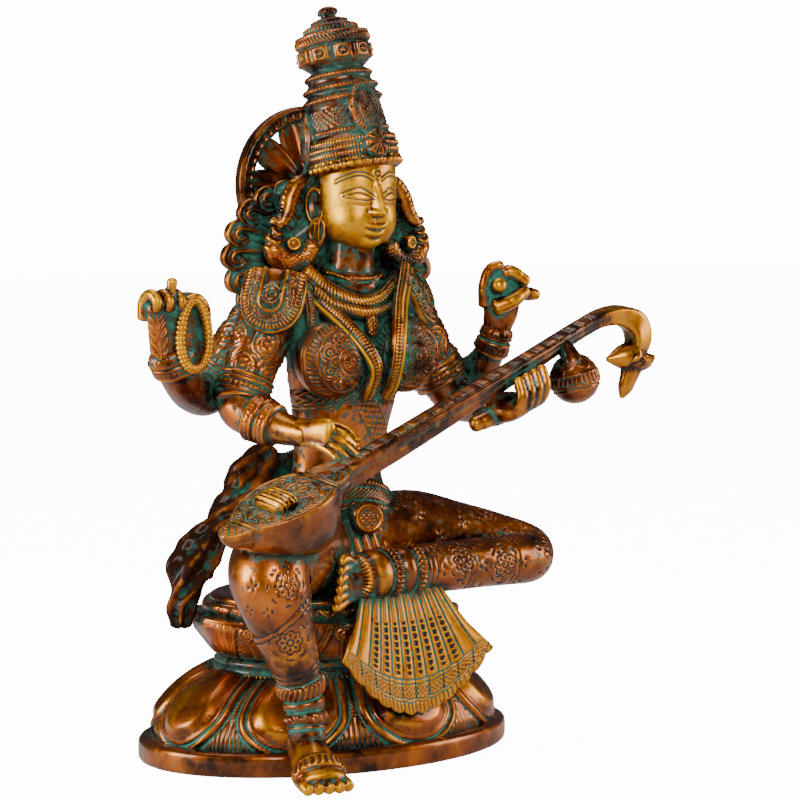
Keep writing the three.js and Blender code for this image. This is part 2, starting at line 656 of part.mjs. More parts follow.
// The veena lies along its own X from the bowl's tip to the neck's head, with the board up along Z.
const VEENA_TIP = new THREE.Vector3(-88.3, -72.3, 99.3);
const VEENA_ALONG = new THREE.Vector3(0.921, 0.157, 0.354).normalize();
const VEENA_TILT = THREE.MathUtils.degToRad(11);
// The bowl's rows: place along it, half width and depth, as shares of its sizes.
const BOWL_ROWS = [
  [0, 0.1, 0.12],
  [0.07, 0.36, 0.26],
  [0.16, 0.46, 0.38],
  [0.24, 0.66, 0.54],
  [0.34, 0.88, 0.78],
  [0.48, 1, 0.94],
  [0.6, 0.97, 1],
  [0.7, 0.8, 0.98],
  [0.77, 0.6, 0.84],
  [0.82, 0.54, 0.5],
  [1, 0.38, 0.42],
];

function veena(gap = 0) {
  const length = VEENA_LENGTH;
  const bowlEnd = VEENA_BOWL_LENGTH;
  const around = 16;
  const bowl = skin(BOWL_ROWS.length, around, (row, column) => {
    const [place, wide, deep] = BOWL_ROWS[row];
    const angle = (column / around) * 2 * Math.PI;
    const down = -Math.sin(angle);
    const [under, over] = [deep * VEENA_BOWL_DEPTH + gap, VEENA_BOARD_CROWN + gap];
    const z = down > 0 ? -under * down ** 0.75 : over * (-down) ** 0.3;
    const half = (wide * VEENA_BOWL_WIDTH) / 2 + gap;
    return new THREE.Vector3(place * bowlEnd + (2 * place - 1) * gap, half * Math.cos(angle), z);
  });
  const [halfWidth, halfDepth] = [VEENA_NECK_WIDTH / 2, VEENA_NECK_DEPTH / 2];
  const top = VEENA_NECK_RISE;
  const neck = limb(
    [
      [bowlEnd * 0.8, 0, top - halfDepth, halfWidth + 0.6, halfDepth],
      [bowlEnd * 1.3, 0, top - halfDepth, halfWidth, halfDepth],
      [length * 0.55, 0, top - halfDepth * 0.86, halfWidth, halfDepth * 0.86],
      [length * 0.72, 0, top - halfDepth * 0.7, halfWidth * 0.95, halfDepth * 0.7],
      [length * 0.863, 0.6, top - halfDepth * 0.6, halfWidth * 0.9, halfDepth * 0.6],
      [length * 0.912, 0, -1.8, halfWidth * 0.9, halfDepth * 0.65],
      [length * 0.958, -1.4, -4.8, halfWidth, halfDepth * 0.8],
      [length * 0.984, -3.7, -10.6, halfWidth * 1.1, halfDepth],
      [length * 0.982, -5.1, -17, halfWidth * 1.1, halfDepth],
      [length * 0.966, -5.6, -21.6, halfWidth, halfDepth * 0.8],
    ].map(([x, y, z, wide, thick]) => [x, y, z, wide + gap, thick + gap]),
    { sides: 8, steps: 2, side: [0, 1, 0], round: 0.4 },
  );
  const horn = (stations) =>
    limb(stations.map(([x, y, z, r]) => [length * x, y, z, r + gap]), { sides: 6, side: [0, 1, 0] });
  const beast = [
    blob([length * 0.962, -6.4, -24.5], [7.5 + gap, 5 + gap, 5 + gap], { turn: [0, 30, 0], around: 10 }),
    horn([[0.955, -5.6, -22, 4.4], [0.93, -4.2, -20.4, 2.8], [0.906, -2.9, -19.4, 1.2]]),
    horn([[0.957, -6.6, -25, 4.4], [0.937, -7, -30.4, 3.2], [0.918, -7.1, -34, 2]]),
    horn([[0.97, -7, -25, 3.4], [1.002, -8.6, -27.4, 1.6]]),
  ];
  const gourdAt = [length * 0.797, VEENA_GOURD_DIAMETER * -0.36, VEENA_GOURD_DIAMETER * -0.76];
  const gourd = [
    blob(gourdAt, Array(3).fill(VEENA_GOURD_DIAMETER / 2 + gap), { around: 14, rows: 7 }),
    limb([[...gourdAt, 4 + gap], [gourdAt[0] + 2, -1.5, -3, 3.6 + gap]], { sides: 6 }),
  ];
  const fretSize = [VEENA_FRET_THICKNESS, VEENA_NECK_WIDTH - VEENA_FRET_THICKNESS, VEENA_FRET_HEIGHT];
  const fretSpace = (length * 0.86 - bowlEnd) / VEENA_FRETS;
  const frets = Array.from({ length: VEENA_FRETS }, (_, i) => {
    const fret = new THREE.BoxGeometry(...fretSize.map((size) => size + 2 * gap));
    return solid(fret.translate(bowlEnd + (i + 0.8) * fretSpace, 0, top - 0.3 * VEENA_FRET_HEIGHT));
  });
  const bridgeHalfs = VEENA_BRIDGE_HALFS.map((half) => half + gap);
  const bridge = blob([bowlEnd * 0.46, 0, VEENA_BOARD_CROWN], bridgeHalfs, { around: 8, rows: 3 });
  const across = new THREE.Vector3(0, 0, 1).cross(VEENA_ALONG).normalize();
  const up = new THREE.Vector3().crossVectors(VEENA_ALONG, across);
  const normal = up.applyAxisAngle(VEENA_ALONG, VEENA_TILT);
  const back = new THREE.Vector3().crossVectors(normal, VEENA_ALONG);
  const pose = new THREE.Matrix4().makeBasis(VEENA_ALONG, back, normal).setPosition(VEENA_TIP);
  return toSeat(union([bowl, neck, ...beast, ...gourd, ...frets, bridge]).transform(pose.toArray()));
}

// The halo: a pierced wheel that stands behind the head on a pin.
const HALO_CENTRE = [7, 26, 229];

function halo(gap = 0) {
  const outer = HALO_DIAMETER / 2;
  const inner = outer - HALO_RIM_WIDTH;
  const [thick, long] = [HALO_PIN_DIAMETER / 2 + gap, HALO_PIN_LENGTH + gap];
  const pin = new THREE.CylinderGeometry(thick, thick, long, 12);
  const shaft = solid(closeSeam(pin.translate(0, -long / 2, 0)));
  if (gap) return toSeat(shaft.translate(HALO_CENTRE));
  const disc = (radius) => new THREE.Shape().absarc(0, 0, radius, 0, 2 * Math.PI);
  const rim = disc(outer);
  rim.holes.push(disc(inner));
  const rimForm = { depth: HALO_RIM_THICKNESS, bevelEnabled: false, curveSegments: 18 };
  const hubForm = { depth: HALO_THICKNESS, bevelEnabled: false, curveSegments: 9 };
  const laid = (geometry, { depth }) =>
    solid(closeSeam(geometry.translate(0, 0, -depth / 2).rotateX(Math.PI / 2)));
  const spokes = Array.from({ length: HALO_SPOKES }, (_, i) => {
    const spoke = new THREE.BoxGeometry(inner + 2, HALO_SPOKE_WIDTH, HALO_THICKNESS);
    const turned = spoke.translate(inner / 2, 0, 0).rotateZ((i * 2 * Math.PI) / HALO_SPOKES);
    return solid(turned.rotateX(Math.PI / 2));
  });
  const wheel = [
    laid(new THREE.ExtrudeGeometry(rim, rimForm), rimForm),
    laid(new THREE.ExtrudeGeometry(disc(HALO_HUB_DIAMETER / 2), hubForm), hubForm),
    ...spokes,
    shaft,
  ];
  return toSeat(union(wheel).translate(HALO_CENTRE));
}

const brass = new THREE.MeshStandardMaterial({ color: 0x9a5a26, roughness: 0.38, metalness: 0.9 });
const gilt = new THREE.MeshStandardMaterial({ color: 0xc98a1e, roughness: 0.32, metalness: 0.9 });

const statue = new THREE.Group();
const figure = outerSkin(
  (await thinned(figureSolid(), FIGURE_TRIANGLES))
    .subtract(pedestal(FIT_CLEARANCE))
    .subtract(veena(FIT_CLEARANCE))
    .subtract(halo(FIT_CLEARANCE)),
);
statue.add(meshOf("pedestal", await thinned(pedestal(), PEDESTAL_TRIANGLES), brass.clone()));
statue.add(meshOf("figure", figure, brass.clone()));
statue.add(meshOf("veena", await thinned(veena(), VEENA_TRIANGLES), brass.clone()));
statue.add(meshOf("halo", halo(), gilt));
export default statue;
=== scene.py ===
# %% [markdown]
# # A cast-brass goddess who plays a veena
# The frame places four cast pieces: an oval lotus pedestal, the seated figure, the veena and the halo.
# Here each gets its real surface: skin, cloth, jewels and petals in relief, under a lacquered brass
# that is bright where hands touch it and green where they don't. Lengths are in millimetres, with the
# frame's axes, and turned into metres at the end.

import bpy
import numpy as np
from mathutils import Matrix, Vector


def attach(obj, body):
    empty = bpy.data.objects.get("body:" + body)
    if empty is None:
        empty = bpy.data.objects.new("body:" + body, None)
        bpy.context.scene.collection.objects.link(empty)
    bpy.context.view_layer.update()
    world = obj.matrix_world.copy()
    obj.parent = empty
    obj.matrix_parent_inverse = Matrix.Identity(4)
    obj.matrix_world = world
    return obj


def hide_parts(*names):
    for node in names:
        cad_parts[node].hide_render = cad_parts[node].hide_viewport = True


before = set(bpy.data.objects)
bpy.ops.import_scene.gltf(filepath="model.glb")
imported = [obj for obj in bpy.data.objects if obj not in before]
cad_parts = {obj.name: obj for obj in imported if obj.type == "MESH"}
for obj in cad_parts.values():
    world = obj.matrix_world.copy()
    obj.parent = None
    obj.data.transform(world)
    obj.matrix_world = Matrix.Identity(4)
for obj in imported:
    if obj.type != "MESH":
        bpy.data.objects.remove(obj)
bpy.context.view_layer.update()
METRES = 0.001
ROUND = 2 * np.pi

# %% [markdown]
# ## Heights as functions
# Relief is a height in mm that depends on where a point lies: how far it is along a limb and round it,
# or how far from a line. A few small functions of a distance are enough: a smooth step, a rounded
# ridge, and a distance that starts again at every bead or petal. They take whole arrays, so a surface
# of fifty thousand points is carved in one go.

# %% Small functions for relief
def unit(vectors):
    """Each vector divided by its own length."""
    return vectors / np.maximum(np.linalg.norm(vectors, axis=-1, keepdims=True), 1e-9)


def ramp(value, low, high):
    """A smooth step from 0 at low to 1 at high: 3 t^2 - 2 t^3, where t is the share of the way."""
    t = np.clip((value - low) / (high - low), 0, 1)
    return t * t * (3 - 2 * t)


def ridge(distance, half):
    """A rounded ridge: (1 - (distance / half)^2)^2 within its half width, and 0 outside."""
    return np.clip(1 - (distance / half) ** 2, 0, None) ** 2


def ridges(distance, places, half):
    """The sum of equal ridges at several places."""
    return sum(ridge(distance - place, half) for place in places)


def between(value, low, high, edge=0.4):
    """1 from low to high with smooth edges, and 0 outside."""
    return ramp(value, low - edge, low) * (1 - ramp(value, high, high + edge))


def wave(value, period):
    """A cosine that is 1 at every full period."""
    return np.cos(ROUND * value / period)


def wrap(value, period):
    """The value counted from the middle of its own period."""
    return (value + period / 2) % period - period / 2


def polar(x, y, size=1.0):
    """How far a point lies from the middle, over a size, and the angle that it lies at."""
    return np.hypot(x, y) / size, np.arctan2(y, x)


def beads(along, across, pitch, radius):
    """A row of half balls, pitch apart: the square root of radius^2 - distance^2 from the nearest."""
    return np.sqrt(np.clip(radius**2 - wrap(along, pitch) ** 2 - across**2, 0, None))


def ribs(along, across, pitch, half):
    """A band with ribs across it: a plateau as wide as the band, times a cosine along it."""
    return (1 - ramp(abs(across), half - 0.3, half)) * (0.65 + 0.35 * wave(along, pitch))


def rope(along, across, pitch, half):
    """A twisted rope: a rounded ridge whose cosine grooves slant across it."""
    return ridge(across, half) ** 0.5 * (0.8 + 0.2 * np.cos(ROUND * (along / pitch + across / half / 3)))


def flower(x, y, radius, petals=8):
    """A rosette: a boss, a ring of petals where the cosine of the angle swells, and a thin rim."""
    far, angle = polar(x, y, radius)
    lobes = 0.35 + 0.65 * abs(np.cos(petals / 2 * angle))
    return ridge(far, 0.24) + 0.85 * ridge(far - 0.52, 0.3) * lobes + 0.8 * ridge(far - 0.92, 0.11)


def lattice(along, across, pitch, half):
    """Crossed grooves: two sets of slanting lines, pitch apart."""
    return np.maximum(ridge(wrap(along + across, pitch), half), ridge(wrap(along - across, pitch), half))


def superellipse(angle, power):
    """The reach of a rounded square at an angle: (|cos|^power + |sin|^power) ^ (-1 / power)."""
    return (abs(np.cos(angle)) ** power + abs(np.sin(angle)) ** power) ** (-1 / power)


# %% [markdown]
# ## Surfaces as grids
# A limb, a petal ring or a medallion is a grid of points: its rows follow a path and its columns go
# round it. numpy works it out at once and moves it along its own outward directions to carve it. Each
# point carries marks that the finishes read: how gilt, inked and mossy it is, and how deep it lies.

# %% Grids that close into bodies
def full_turn(count):
    """So many angles at even steps all round."""
    return np.arange(count) / count * ROUND


class Grid:
    """A closed surface in mm. Each row of points is a ring; the first and last rows close on their
    middles, or on each other where loop is True. along and angle say where a point lies."""

    def __init__(self, points, along=None, angle=None, girth=1.0, loop=False):
        self.points, self.loop = points, loop
        self.along, self.angle, self.girth = along, angle, girth
        self.height, self.gilt, self.ink, self.moss = np.zeros((4, *points.shape[:2]))
        round_step = np.roll(points, -1, 1) - np.roll(points, 1, 1)
        looped_step = np.roll(points, -1, 0) - np.roll(points, 1, 0)
        self.out = unit(np.cross(round_step, looped_step if loop else np.gradient(points, axis=0)))

    @property
    def turn(self):
        """The way round in mm."""
        return self.angle * self.girth / ROUND

    def carve(self, height, direction=None):
        """Moves every point by its height in mm, outwards or in a given direction."""
        height = height + np.zeros_like(self.height)
        way = self.out if direction is None else np.asarray(direction, float)
        self.points = self.points + height[..., None] * way
        self.height = self.height + height
        return self

    def mark(self, gilt=0.0, ink=0.0, moss=0.0):
        """Adds gilding, ink and verdigris, each at most 1."""
        self.gilt = np.clip(self.gilt + gilt, 0, 1)
        self.ink = np.clip(self.ink + ink, 0, 1)
        self.moss = np.clip(self.moss + moss, 0, 1)
        return self

    def hollow(self, rounds=4):
        """How far each point lies under the mean height round it, in mm, from repeated averages."""
        mean = self.height
        for _ in range(rounds):
            mean = (np.roll(mean, 1, 1) + 2 * mean + np.roll(mean, -1, 1)) / 4
            padded = np.pad(mean, ((1, 1), (0, 0)), mode="wrap" if self.loop else "edge")
            mean = (padded[:-2] + 2 * mean + padded[2:]) / 4
        return mean - self.height

    def triangles(self):
        """Two triangles for each cell, and a fan of triangles at each closed end."""
        rows, columns = self.height.shape
        number = np.arange(rows * columns).reshape(rows, columns)
        beside = np.roll(number, -1, 1)
        last = rows if self.loop else rows - 1
        low, low_beside = number[:last], beside[:last]
        high, high_beside = np.roll(number, -1, 0)[:last], np.roll(beside, -1, 0)[:last]
        cells = [(low, low_beside, high_beside), (low, high_beside, high)]
        if not self.loop:
            foot, top = np.full(columns, rows * columns), np.full(columns, rows * columns + 1)
            cells += [(beside[0], number[0], foot), (number[-1], beside[-1], top)]
        return np.concatenate([np.stack([part.ravel() for part in cell], 1) for cell in cells])

    def flat(self, values):
        """The values of all points in one row, with the mean of the first and last ring at its end."""
        listed = values.reshape(-1, *values.shape[2:])
        return listed if self.loop else np.concatenate([listed, values[:1].mean(1), values[-1:].mean(1)])


def welded(points, faces):
    """Points within a thousandth of a mm of each other become one; faces that lose a corner go."""
    keys = np.round(points / 1e-3).astype(np.int64)
    _, first, index = np.unique(keys, axis=0, return_index=True, return_inverse=True)
    faces = index.reshape(-1)[faces]
    a, b, c = faces.T
    return first, faces[(a != b) & (b != c) & (a != c)]


def signed_volume(points, faces):
    """A sixth of the sum of each triangle's triple product: above 0 where the faces point out."""
    a, b, c = (points[faces[:, corner]] for corner in range(3))
    return np.einsum("ij,ij->", a, np.cross(b, c)) / 6


def read(mesh, what="co", owner="vertices"):
    """All of a mesh's coordinates or normals as an array with three columns."""
    values = np.empty(3 * len(mesh.vertices), np.float32)
    getattr(mesh, owner).foreach_get(what, values)
    return values.reshape(-1, 3)


def write_mark(mesh, name, values):
    """Stores one number for each point under a mark's name, in the place of an older one."""
    if name in mesh.attributes:
        mesh.attributes.remove(mesh.attributes[name])
    values = np.float32(values) + np.zeros(len(mesh.vertices), np.float32)
    mesh.attributes.new(name, "FLOAT", "POINT").data.foreach_set("value", values)


made = []
surface_points = []


def thin_out(piece, share):
    """Takes points out where the surface is smooth, until a share of the triangles is left, and keeps
    what comes out of all the piece's modifiers as its mesh."""
    piece.modifiers.new("fewer triangles", "DECIMATE").ratio = share
    bpy.context.view_layer.update()
    skin = bpy.data.meshes.new_from_object(piece.evaluated_get(bpy.context.evaluated_depsgraph_get()))
    piece.modifiers.clear()
    piece.data = skin
    return skin


def build(name, node, grids, material, share=0.38):
    """One object from closed grids, with their marks as attributes. It replaces the frame's node,
    which it hides, and rides on the root. A share of its triangles is kept."""
    points, faces, marks, count = [], [], [], 0
    for grid in grids:
        own_points, own_faces = grid.flat(grid.points), grid.triangles()
        if signed_volume(own_points - own_points.mean(0), own_faces) < 0:
            own_faces = own_faces[:, ::-1]
        first, own_faces = welded(own_points, own_faces)
        own_marks = np.stack([grid.gilt, grid.ink, grid.moss, grid.hollow()], -1)
        points.append(own_points[first])
        marks.append(grid.flat(own_marks)[first])
        faces.append(own_faces + count)
        count += len(first)
    points, faces, marks = (np.concatenate(part) for part in (points, faces, marks))
    surface_points.append(points)
    mesh = bpy.data.meshes.new(name)
    mesh.vertices.add(len(points))
    mesh.vertices.foreach_set("co", (points * METRES).astype(np.float32).ravel())
    mesh.loops.add(faces.size)
    mesh.loops.foreach_set("vertex_index", faces.astype(np.int32).ravel())
    mesh.polygons.add(len(faces))
    mesh.polygons.foreach_set("loop_start", np.arange(0, faces.size, 3, dtype=np.int32))
    mesh.update(calc_edges=True)
    mesh.shade_smooth()
    for mark, values in zip(("gilt", "ink", "moss", "hollow"), marks.T):
        write_mark(mesh, mark, values)
    mesh.materials.append(material)
    piece = bpy.data.objects.new(name, mesh)
    bpy.context.scene.collection.objects.link(piece)
    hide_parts(node)
    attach(piece, "root")
    made.append(piece)
    print(f"{name}: {len(faces)} triangles before thinning")
    if share < 1:
        thin_out(piece, share)
    return piece


# %% Paths, limbs, blobs and plates
def spline(stations, places):
    """A centripetal Catmull-Rom curve through stations: its knots are spaced by the square root of
    the way between them, and what follows the three coordinates, such as radii, rides along."""
    p = np.asarray(stations, float)
    q = np.vstack([2 * p[0] - p[1], p, 2 * p[-1] - p[-2]])
    i = np.clip(np.floor(places).astype(int), 0, len(p) - 2)
    w = (places - i)[:, None]
    p0, p1, p2, p3 = (q[i + step] for step in range(4))
    d0, d1, d2 = (
        np.maximum(((b - a)[:, :3] ** 2).sum(1), 1e-6)[:, None] ** 0.25
        for a, b in ((p0, p1), (p1, p2), (p2, p3))
    )
    m1 = ((p1 - p0) / d0 - (p2 - p0) / (d0 + d1) + (p2 - p1) / d1) * d1
    m2 = ((p2 - p1) / d1 - (p3 - p1) / (d1 + d2) + (p3 - p2) / d2) * d1
    cubic = (2 * p1 - 2 * p2 + m1 + m2) * w**3 + (3 * p2 - 3 * p1 - 2 * m1 - m2) * w**2
    return cubic + m1 * w + p1


def even_rows(stations, spacing):
    """Points of the spline at even steps of its length, and how far along each lies."""
    fine = spline(stations, np.linspace(0, len(stations) - 1, 40 * len(stations)))
    way = np.concatenate([[0], np.cumsum(np.linalg.norm(np.diff(fine[:, :3], axis=0), axis=1))])
    along = np.linspace(0, way[-1], max(4, int(way[-1] / spacing)))
    return np.stack([np.interp(along, way, column) for column in fine.T], 1), along


DOME_RINGS = 9
COLUMNS_PER_ROW = 0.85


def limb(stations, side=(1, 0, 0), spacing=0.6, ends=(0.5, 0.7), columns=None):
    """Oval rings along a spline through [x, y, z, half width, half thickness]. The width lies along
    side, angle 0 too. Each end is a dome, as long as its share of the radius: its rings go on along
    the path by the sine of an angle and shrink by its cosine."""
    rows, along = even_rows([[*s[:4], s[4] if len(s) > 4 else s[3]] for s in stations], spacing)
    forward = unit(np.gradient(rows[:, :3], axis=0))
    dome = np.linspace(0, np.pi / 2, DOME_RINGS)[1:]
    parts = [(rows, forward, along, np.ones(len(rows)))]
    for end, share, sign in ((0, ends[0], -1), (-1, ends[1], 1)):
        reach = share * min(rows[end, 3:]) * np.sin(dome)
        ring = np.repeat(rows[end][None], len(dome), 0)
        ring[:, :3] += sign * reach[:, None] * forward[end]
        extra = (ring, np.repeat(forward[end][None], len(dome), 0), along[end] + sign * reach, np.cos(dome))
        parts = [tuple(part[::-1] for part in extra), *parts] if sign < 0 else [*parts, extra]
    rows, forward, along, shrink = (np.concatenate(part) for part in zip(*parts))
    right = unit(np.asarray(side, float) - (forward @ side)[:, None] * forward)
    up = np.cross(forward, right)
    girth = np.pi * (rows[:, 3] + rows[:, 4])
    angle = full_turn(columns or max(12, int(girth.max() * COLUMNS_PER_ROW / spacing)))
    wide = (rows[:, 3] * shrink)[:, None, None] * np.cos(angle)[:, None] * right[:, None]
    thick = (rows[:, 4] * shrink)[:, None, None] * np.sin(angle)[:, None] * up[:, None]
    angles = np.broadcast_to(angle, (len(rows), len(angle)))
    return Grid(rows[:, None, :3] + wide + thick, along[:, None], angles, girth[:, None])


def turned_by(x, y, z):
    """The matrix that turns by three angles in degrees: first about Z, then about Y, then about X."""
    (a, b, c), (d, e, f) = np.sin(np.radians([x, y, z])), np.cos(np.radians([x, y, z]))
    about_x = np.array([[1, 0, 0], [0, d, -a], [0, a, d]])
    about_y = np.array([[e, 0, b], [0, 1, 0], [-b, 0, e]])
    about_z = np.array([[f, -c, 0], [c, f, 0], [0, 0, 1]])
    return about_x @ about_y @ about_z


def blob(centre, halfs, turn=(0, 0, 0), spacing=0.6):
    """An ellipsoid: half sizes times the cosines and sines of two angles, turned and moved."""
    down = np.linspace(0, np.pi, max(int(np.pi * max(halfs) / spacing), 6))[:, None]
    angle = full_turn(max(int(ROUND * max(halfs[:2]) / spacing), 8))
    flat = [np.sin(down) * np.cos(angle), np.sin(down) * np.sin(angle), -np.cos(down) + 0 * angle]
    points = np.stack(flat, -1) * halfs @ turned_by(*turn).T + centre
    return Grid(points, down + 0 * angle, angle + 0 * down)


def plate(centre, facing, up, half_width, half_height, carving, thick=1.5, dome=0.0, edge=None, spacing=0.5):
    """A medallion: rings that grow from its middle to an edge, which may change with the angle, and
    fold back to close behind. It domes by its share of a parabola, and carving(x, y) is its relief."""
    facing = unit(np.asarray(facing, float))
    right = unit(np.cross(up, facing))
    upward = np.cross(facing, right)
    longest = max(half_width, half_height)
    angle = full_turn(int(ROUND * longest / spacing))
    share = np.linspace(0, 1, int(longest / spacing))[:, None]
    reach = share * (np.ones(len(angle)) if edge is None else edge(angle))
    x, y = reach * half_width * np.cos(angle), reach * half_height * np.sin(angle)
    rise = dome * (1 - (x / half_width) ** 2 - (y / half_height) ** 2)
    back = -thick * np.array([0.5, 1, 1, 1])[:, None] + 0 * x[:4]
    fold = np.array([1.0, 0.97, 0.6, 0.0])[:, None]
    x, y = np.concatenate([x, fold * x[-1]]), np.concatenate([y, fold * y[-1]])
    z = np.concatenate([rise, rise[-1] + back])[..., None]
    front = (np.arange(len(x)) < len(rise))[:, None]
    grid = Grid(np.asarray(centre, float) + x[..., None] * right + y[..., None] * upward + z * facing)
    return grid.carve(carving(x, y) * front, facing)

# %% [markdown]
# ## The metal
# The statue is brass under a warm lacquer. Seen close, it is never one colour: orange where little
# lacquer covers bright metal, brown where it is thick, near black in cut lines, green where
# verdigris stays in the hollows, and plain gold where it was buffed. Shade is painted in as well:
# where other metal crowds in front of a point, the lacquer turns browner, the gold weaker and the cut
# lines darker. Each of those is a mask, so the shader is a short sum of masks, and expressions keep
# the sum readable.

# %% Shader maths as expressions
class Wire:
    """A socket of a node tree. Arithmetic on it adds the Math nodes that work it out."""

    def __init__(self, tree, socket=None):
        self.tree, self.socket = tree, socket

    def node(self, kind, sockets=(), output=0, **settings):
        """Adds a node, sets its settings, and then fills its sockets with values or wires."""
        added = self.tree.nodes.new(kind)
        for name, value in settings.items():
            setattr(added, name, value)
        for key, value in dict(sockets).items():
            if isinstance(value, Wire):
                value.into(added.inputs[key])
            else:
                added.inputs[key].default_value = value
        return Wire(self.tree, added.outputs[output])

    def into(self, socket):
        """Links this wire to a node's input."""
        self.tree.links.new(self.socket, socket)

    def math(self, operation, other):
        """A Math node on this wire and another wire or number."""
        return self.node("ShaderNodeMath", enumerate((self, other)), operation=operation)

    def __add__(self, other):
        return self.math("ADD", other)

    def __mul__(self, other):
        return self.math("MULTIPLY", other)

    def __sub__(self, other):
        return self.math("SUBTRACT", other)

    def __rsub__(self, other):
        return self * -1 + other

    __radd__ = __add__
    __rmul__ = __mul__

    def step(self, low, high):
        """A smooth step from 0 at low to 1 at high."""
        sockets = {"Value": self, "From Min": low, "From Max": high}
        return self.node("ShaderNodeMapRange", sockets, interpolation_type="SMOOTHSTEP")

    def blend(self, first, second):
        """The first colour where this mask is 0, and the second where it is 1."""
        colours = {0: self, 6: first, 7: second}
        return self.node("ShaderNodeMix", colours, output=2, data_type="RGBA", blend_type="MIX")


def new_material(name):
    """A material with nodes, its shader's inputs, and a wire to start from."""
    material = bpy.data.materials.new(name)
    material.use_nodes = True
    return material, material.node_tree.nodes["Principled BSDF"].inputs, Wire(material.node_tree)


# %% Brass under lacquer
LACQUER_DARK = (0.034, 0.010, 0.004, 1)
LACQUER = (0.220, 0.055, 0.006, 1)
COPPER = (0.545, 0.140, 0.008, 1)
RUST = (0.440, 0.078, 0.008, 1)
AMBER = (0.620, 0.215, 0.000, 1)
GOLD = (0.820, 0.400, 0.000, 1)
INK = (0.008, 0.005, 0.004, 1)
VERDIGRIS = (0.014, 0.070, 0.046, 1)
VERDIGRIS_BRIGHT = (0.030, 0.220, 0.145, 1)


def brass(name, warmth=0.5, green=0.5, buffed=0.0, dull=0.0):
    """Lacquered brass. warmth shifts it from brown to copper, green spreads the verdigris, and
    buffed adds bare gold on what stands proud. dull makes the lacquer rougher."""
    material, inputs, start = new_material(name)
    place = start.node("ShaderNodeTexCoord", output="Object")

    def noise(size, detail=3.0):
        """Clouds whose lumps are about so many mm across."""
        return start.node("ShaderNodeTexNoise", {"Vector": place, "Scale": 1000 / size, "Detail": detail})

    gilt, ink, moss, hollow, shade = (
        start.node("ShaderNodeAttribute", output="Fac", attribute_name=mark, attribute_type="GEOMETRY")
        for mark in ("gilt", "ink", "moss", "hollow", "shade"))
    clouds, patches, flecks, grain = noise(26.0), noise(8.0), noise(2.6), noise(0.9, 2.0)
    proud = (hollow * -1.0).step(0.0, 0.35)
    lacquer_and_shade = (clouds - 0.5) * 3.2 + (patches - 0.5) * 1.9 + (flecks - 0.5) * 0.45 + proud * 0.4
    # Painted shade: the lacquer turns browner and darker where other metal crowds in front (the mark shade).
    lacquer_and_shade = lacquer_and_shade - shade * 0.6 + warmth
    colour = lacquer_and_shade.step(-0.25, 0.35).blend(LACQUER_DARK, LACQUER)
    colour = lacquer_and_shade.step(0.3, 1.15).blend(colour, COPPER)
    rusty = lacquer_and_shade.step(0.2, 0.6) * (patches * -1.0).step(-0.5, -0.38)
    colour = (rusty * 0.6).blend(colour, RUST)
    polish_and_shade = gilt + proud * buffed + (flecks - 0.5) * 0.5 + (patches - 0.5) * 0.6
    # Painted shade: less amber and bare gold where other metal crowds in front.
    polish_and_shade = polish_and_shade - hollow * 0.9 - shade * 0.35
    colour = (polish_and_shade.step(0.15, 0.5) * 0.9).blend(colour, AMBER)
    bare = polish_and_shade.step(0.5, 1.0)
    colour = bare.blend(colour, GOLD)
    # Near black in cut lines and carved hollows, and darker still where other metal crowds in front, which is
    # painted shade.
    cut = (hollow * 1.5 + shade * 0.35 + (flecks - 0.5) * 0.3).step(0.22, 0.62)
    colour = (cut * 0.82).blend(colour, INK)
    damp = hollow * 1.3 + shade * 0.75 + (patches - 0.5) * 1.5 + (flecks - 0.5) * 1.9
    damp = damp - gilt * 0.6 + moss * 1.1 + green
    crust = damp.step(0.8, 1.15)
    colour = (crust * 0.9).blend(colour, VERDIGRIS)
    colour = (damp.step(1.25, 1.75) * 0.9).blend(colour, VERDIGRIS_BRIGHT)
    ink.step(0.2, 0.7).blend(colour, INK).into(inputs["Base Color"])
    (0.96 - crust * 0.75 - ink * 0.5).into(inputs["Metallic"])
    rough = 0.35 + (flecks - 0.5) * 0.25 + cut * 0.15 + crust * 0.4 + bare * 0.12 + dull
    rough.into(inputs["Roughness"])
    (0.45 - bare * 0.38 - dull).into(inputs["Coat Weight"])
    inputs["Coat Roughness"].default_value = 0.1
    fine = {"Height": flecks * 0.6 + grain * 0.4, "Strength": 0.35, "Distance": 0.0003}
    grained = start.node("ShaderNodeBump", fine)
    broad = {"Height": clouds, "Normal": grained, "Strength": 0.2, "Distance": 0.001}
    start.node("ShaderNodeBump", broad).into(inputs["Normal"])
    return material


figure_brass = brass("figure brass", green=0.6)
pedestal_brass = brass("pedestal brass", warmth=0.52, green=0.46)
veena_brass = brass("veena brass", warmth=0.24, green=0.42)
halo_brass = brass("halo brass", warmth=0.3, green=0.45)
fan_brass = brass("fan brass", warmth=0.35, green=0.5, buffed=0.3, dull=0.1)
sash_brass = brass("sash brass", warmth=-0.15, green=0.46, dull=0.3)

# %% [markdown]
# ## The lotus pedestal
# It was cast from a turned oval core on which petals were modelled in wax. So each tier here is a
# profile swept round an oval, and a petal is a height that repeats round it. The lower petals hang
# down with a double rim, and a veined leaf fills each gap. The upper ones rise, end in points and are
# folded along their middles. A ring of small ribs hides the joint between.

# %% Oval turnings
PLINTH_LENGTH, PLINTH_WIDTH, PLINTH_HEIGHT = 161.8, 111.8, 9.5
PETALS = 8
PETAL_TURN = ROUND / PETALS
WAIST_RIBS = 144


def oval(profile, spacing=0.75):
    """A profile of [half length, half width, height] swept round an oval: x is the half length times
    the cosine of the angle, and y the half width times its sine. girth is the way round."""
    rows, along = even_rows(profile, spacing)
    angle = full_turn(int(ROUND * rows[:, :2].mean(1).max() / spacing / PETALS) * PETALS)
    a, b, z = (rows[:, i, None] for i in range(3))
    points = np.stack([a * np.cos(angle), b * np.sin(angle), z + 0 * angle], -1)
    return Grid(points, along[:, None], angle + 0 * a, np.pi * (a + b))


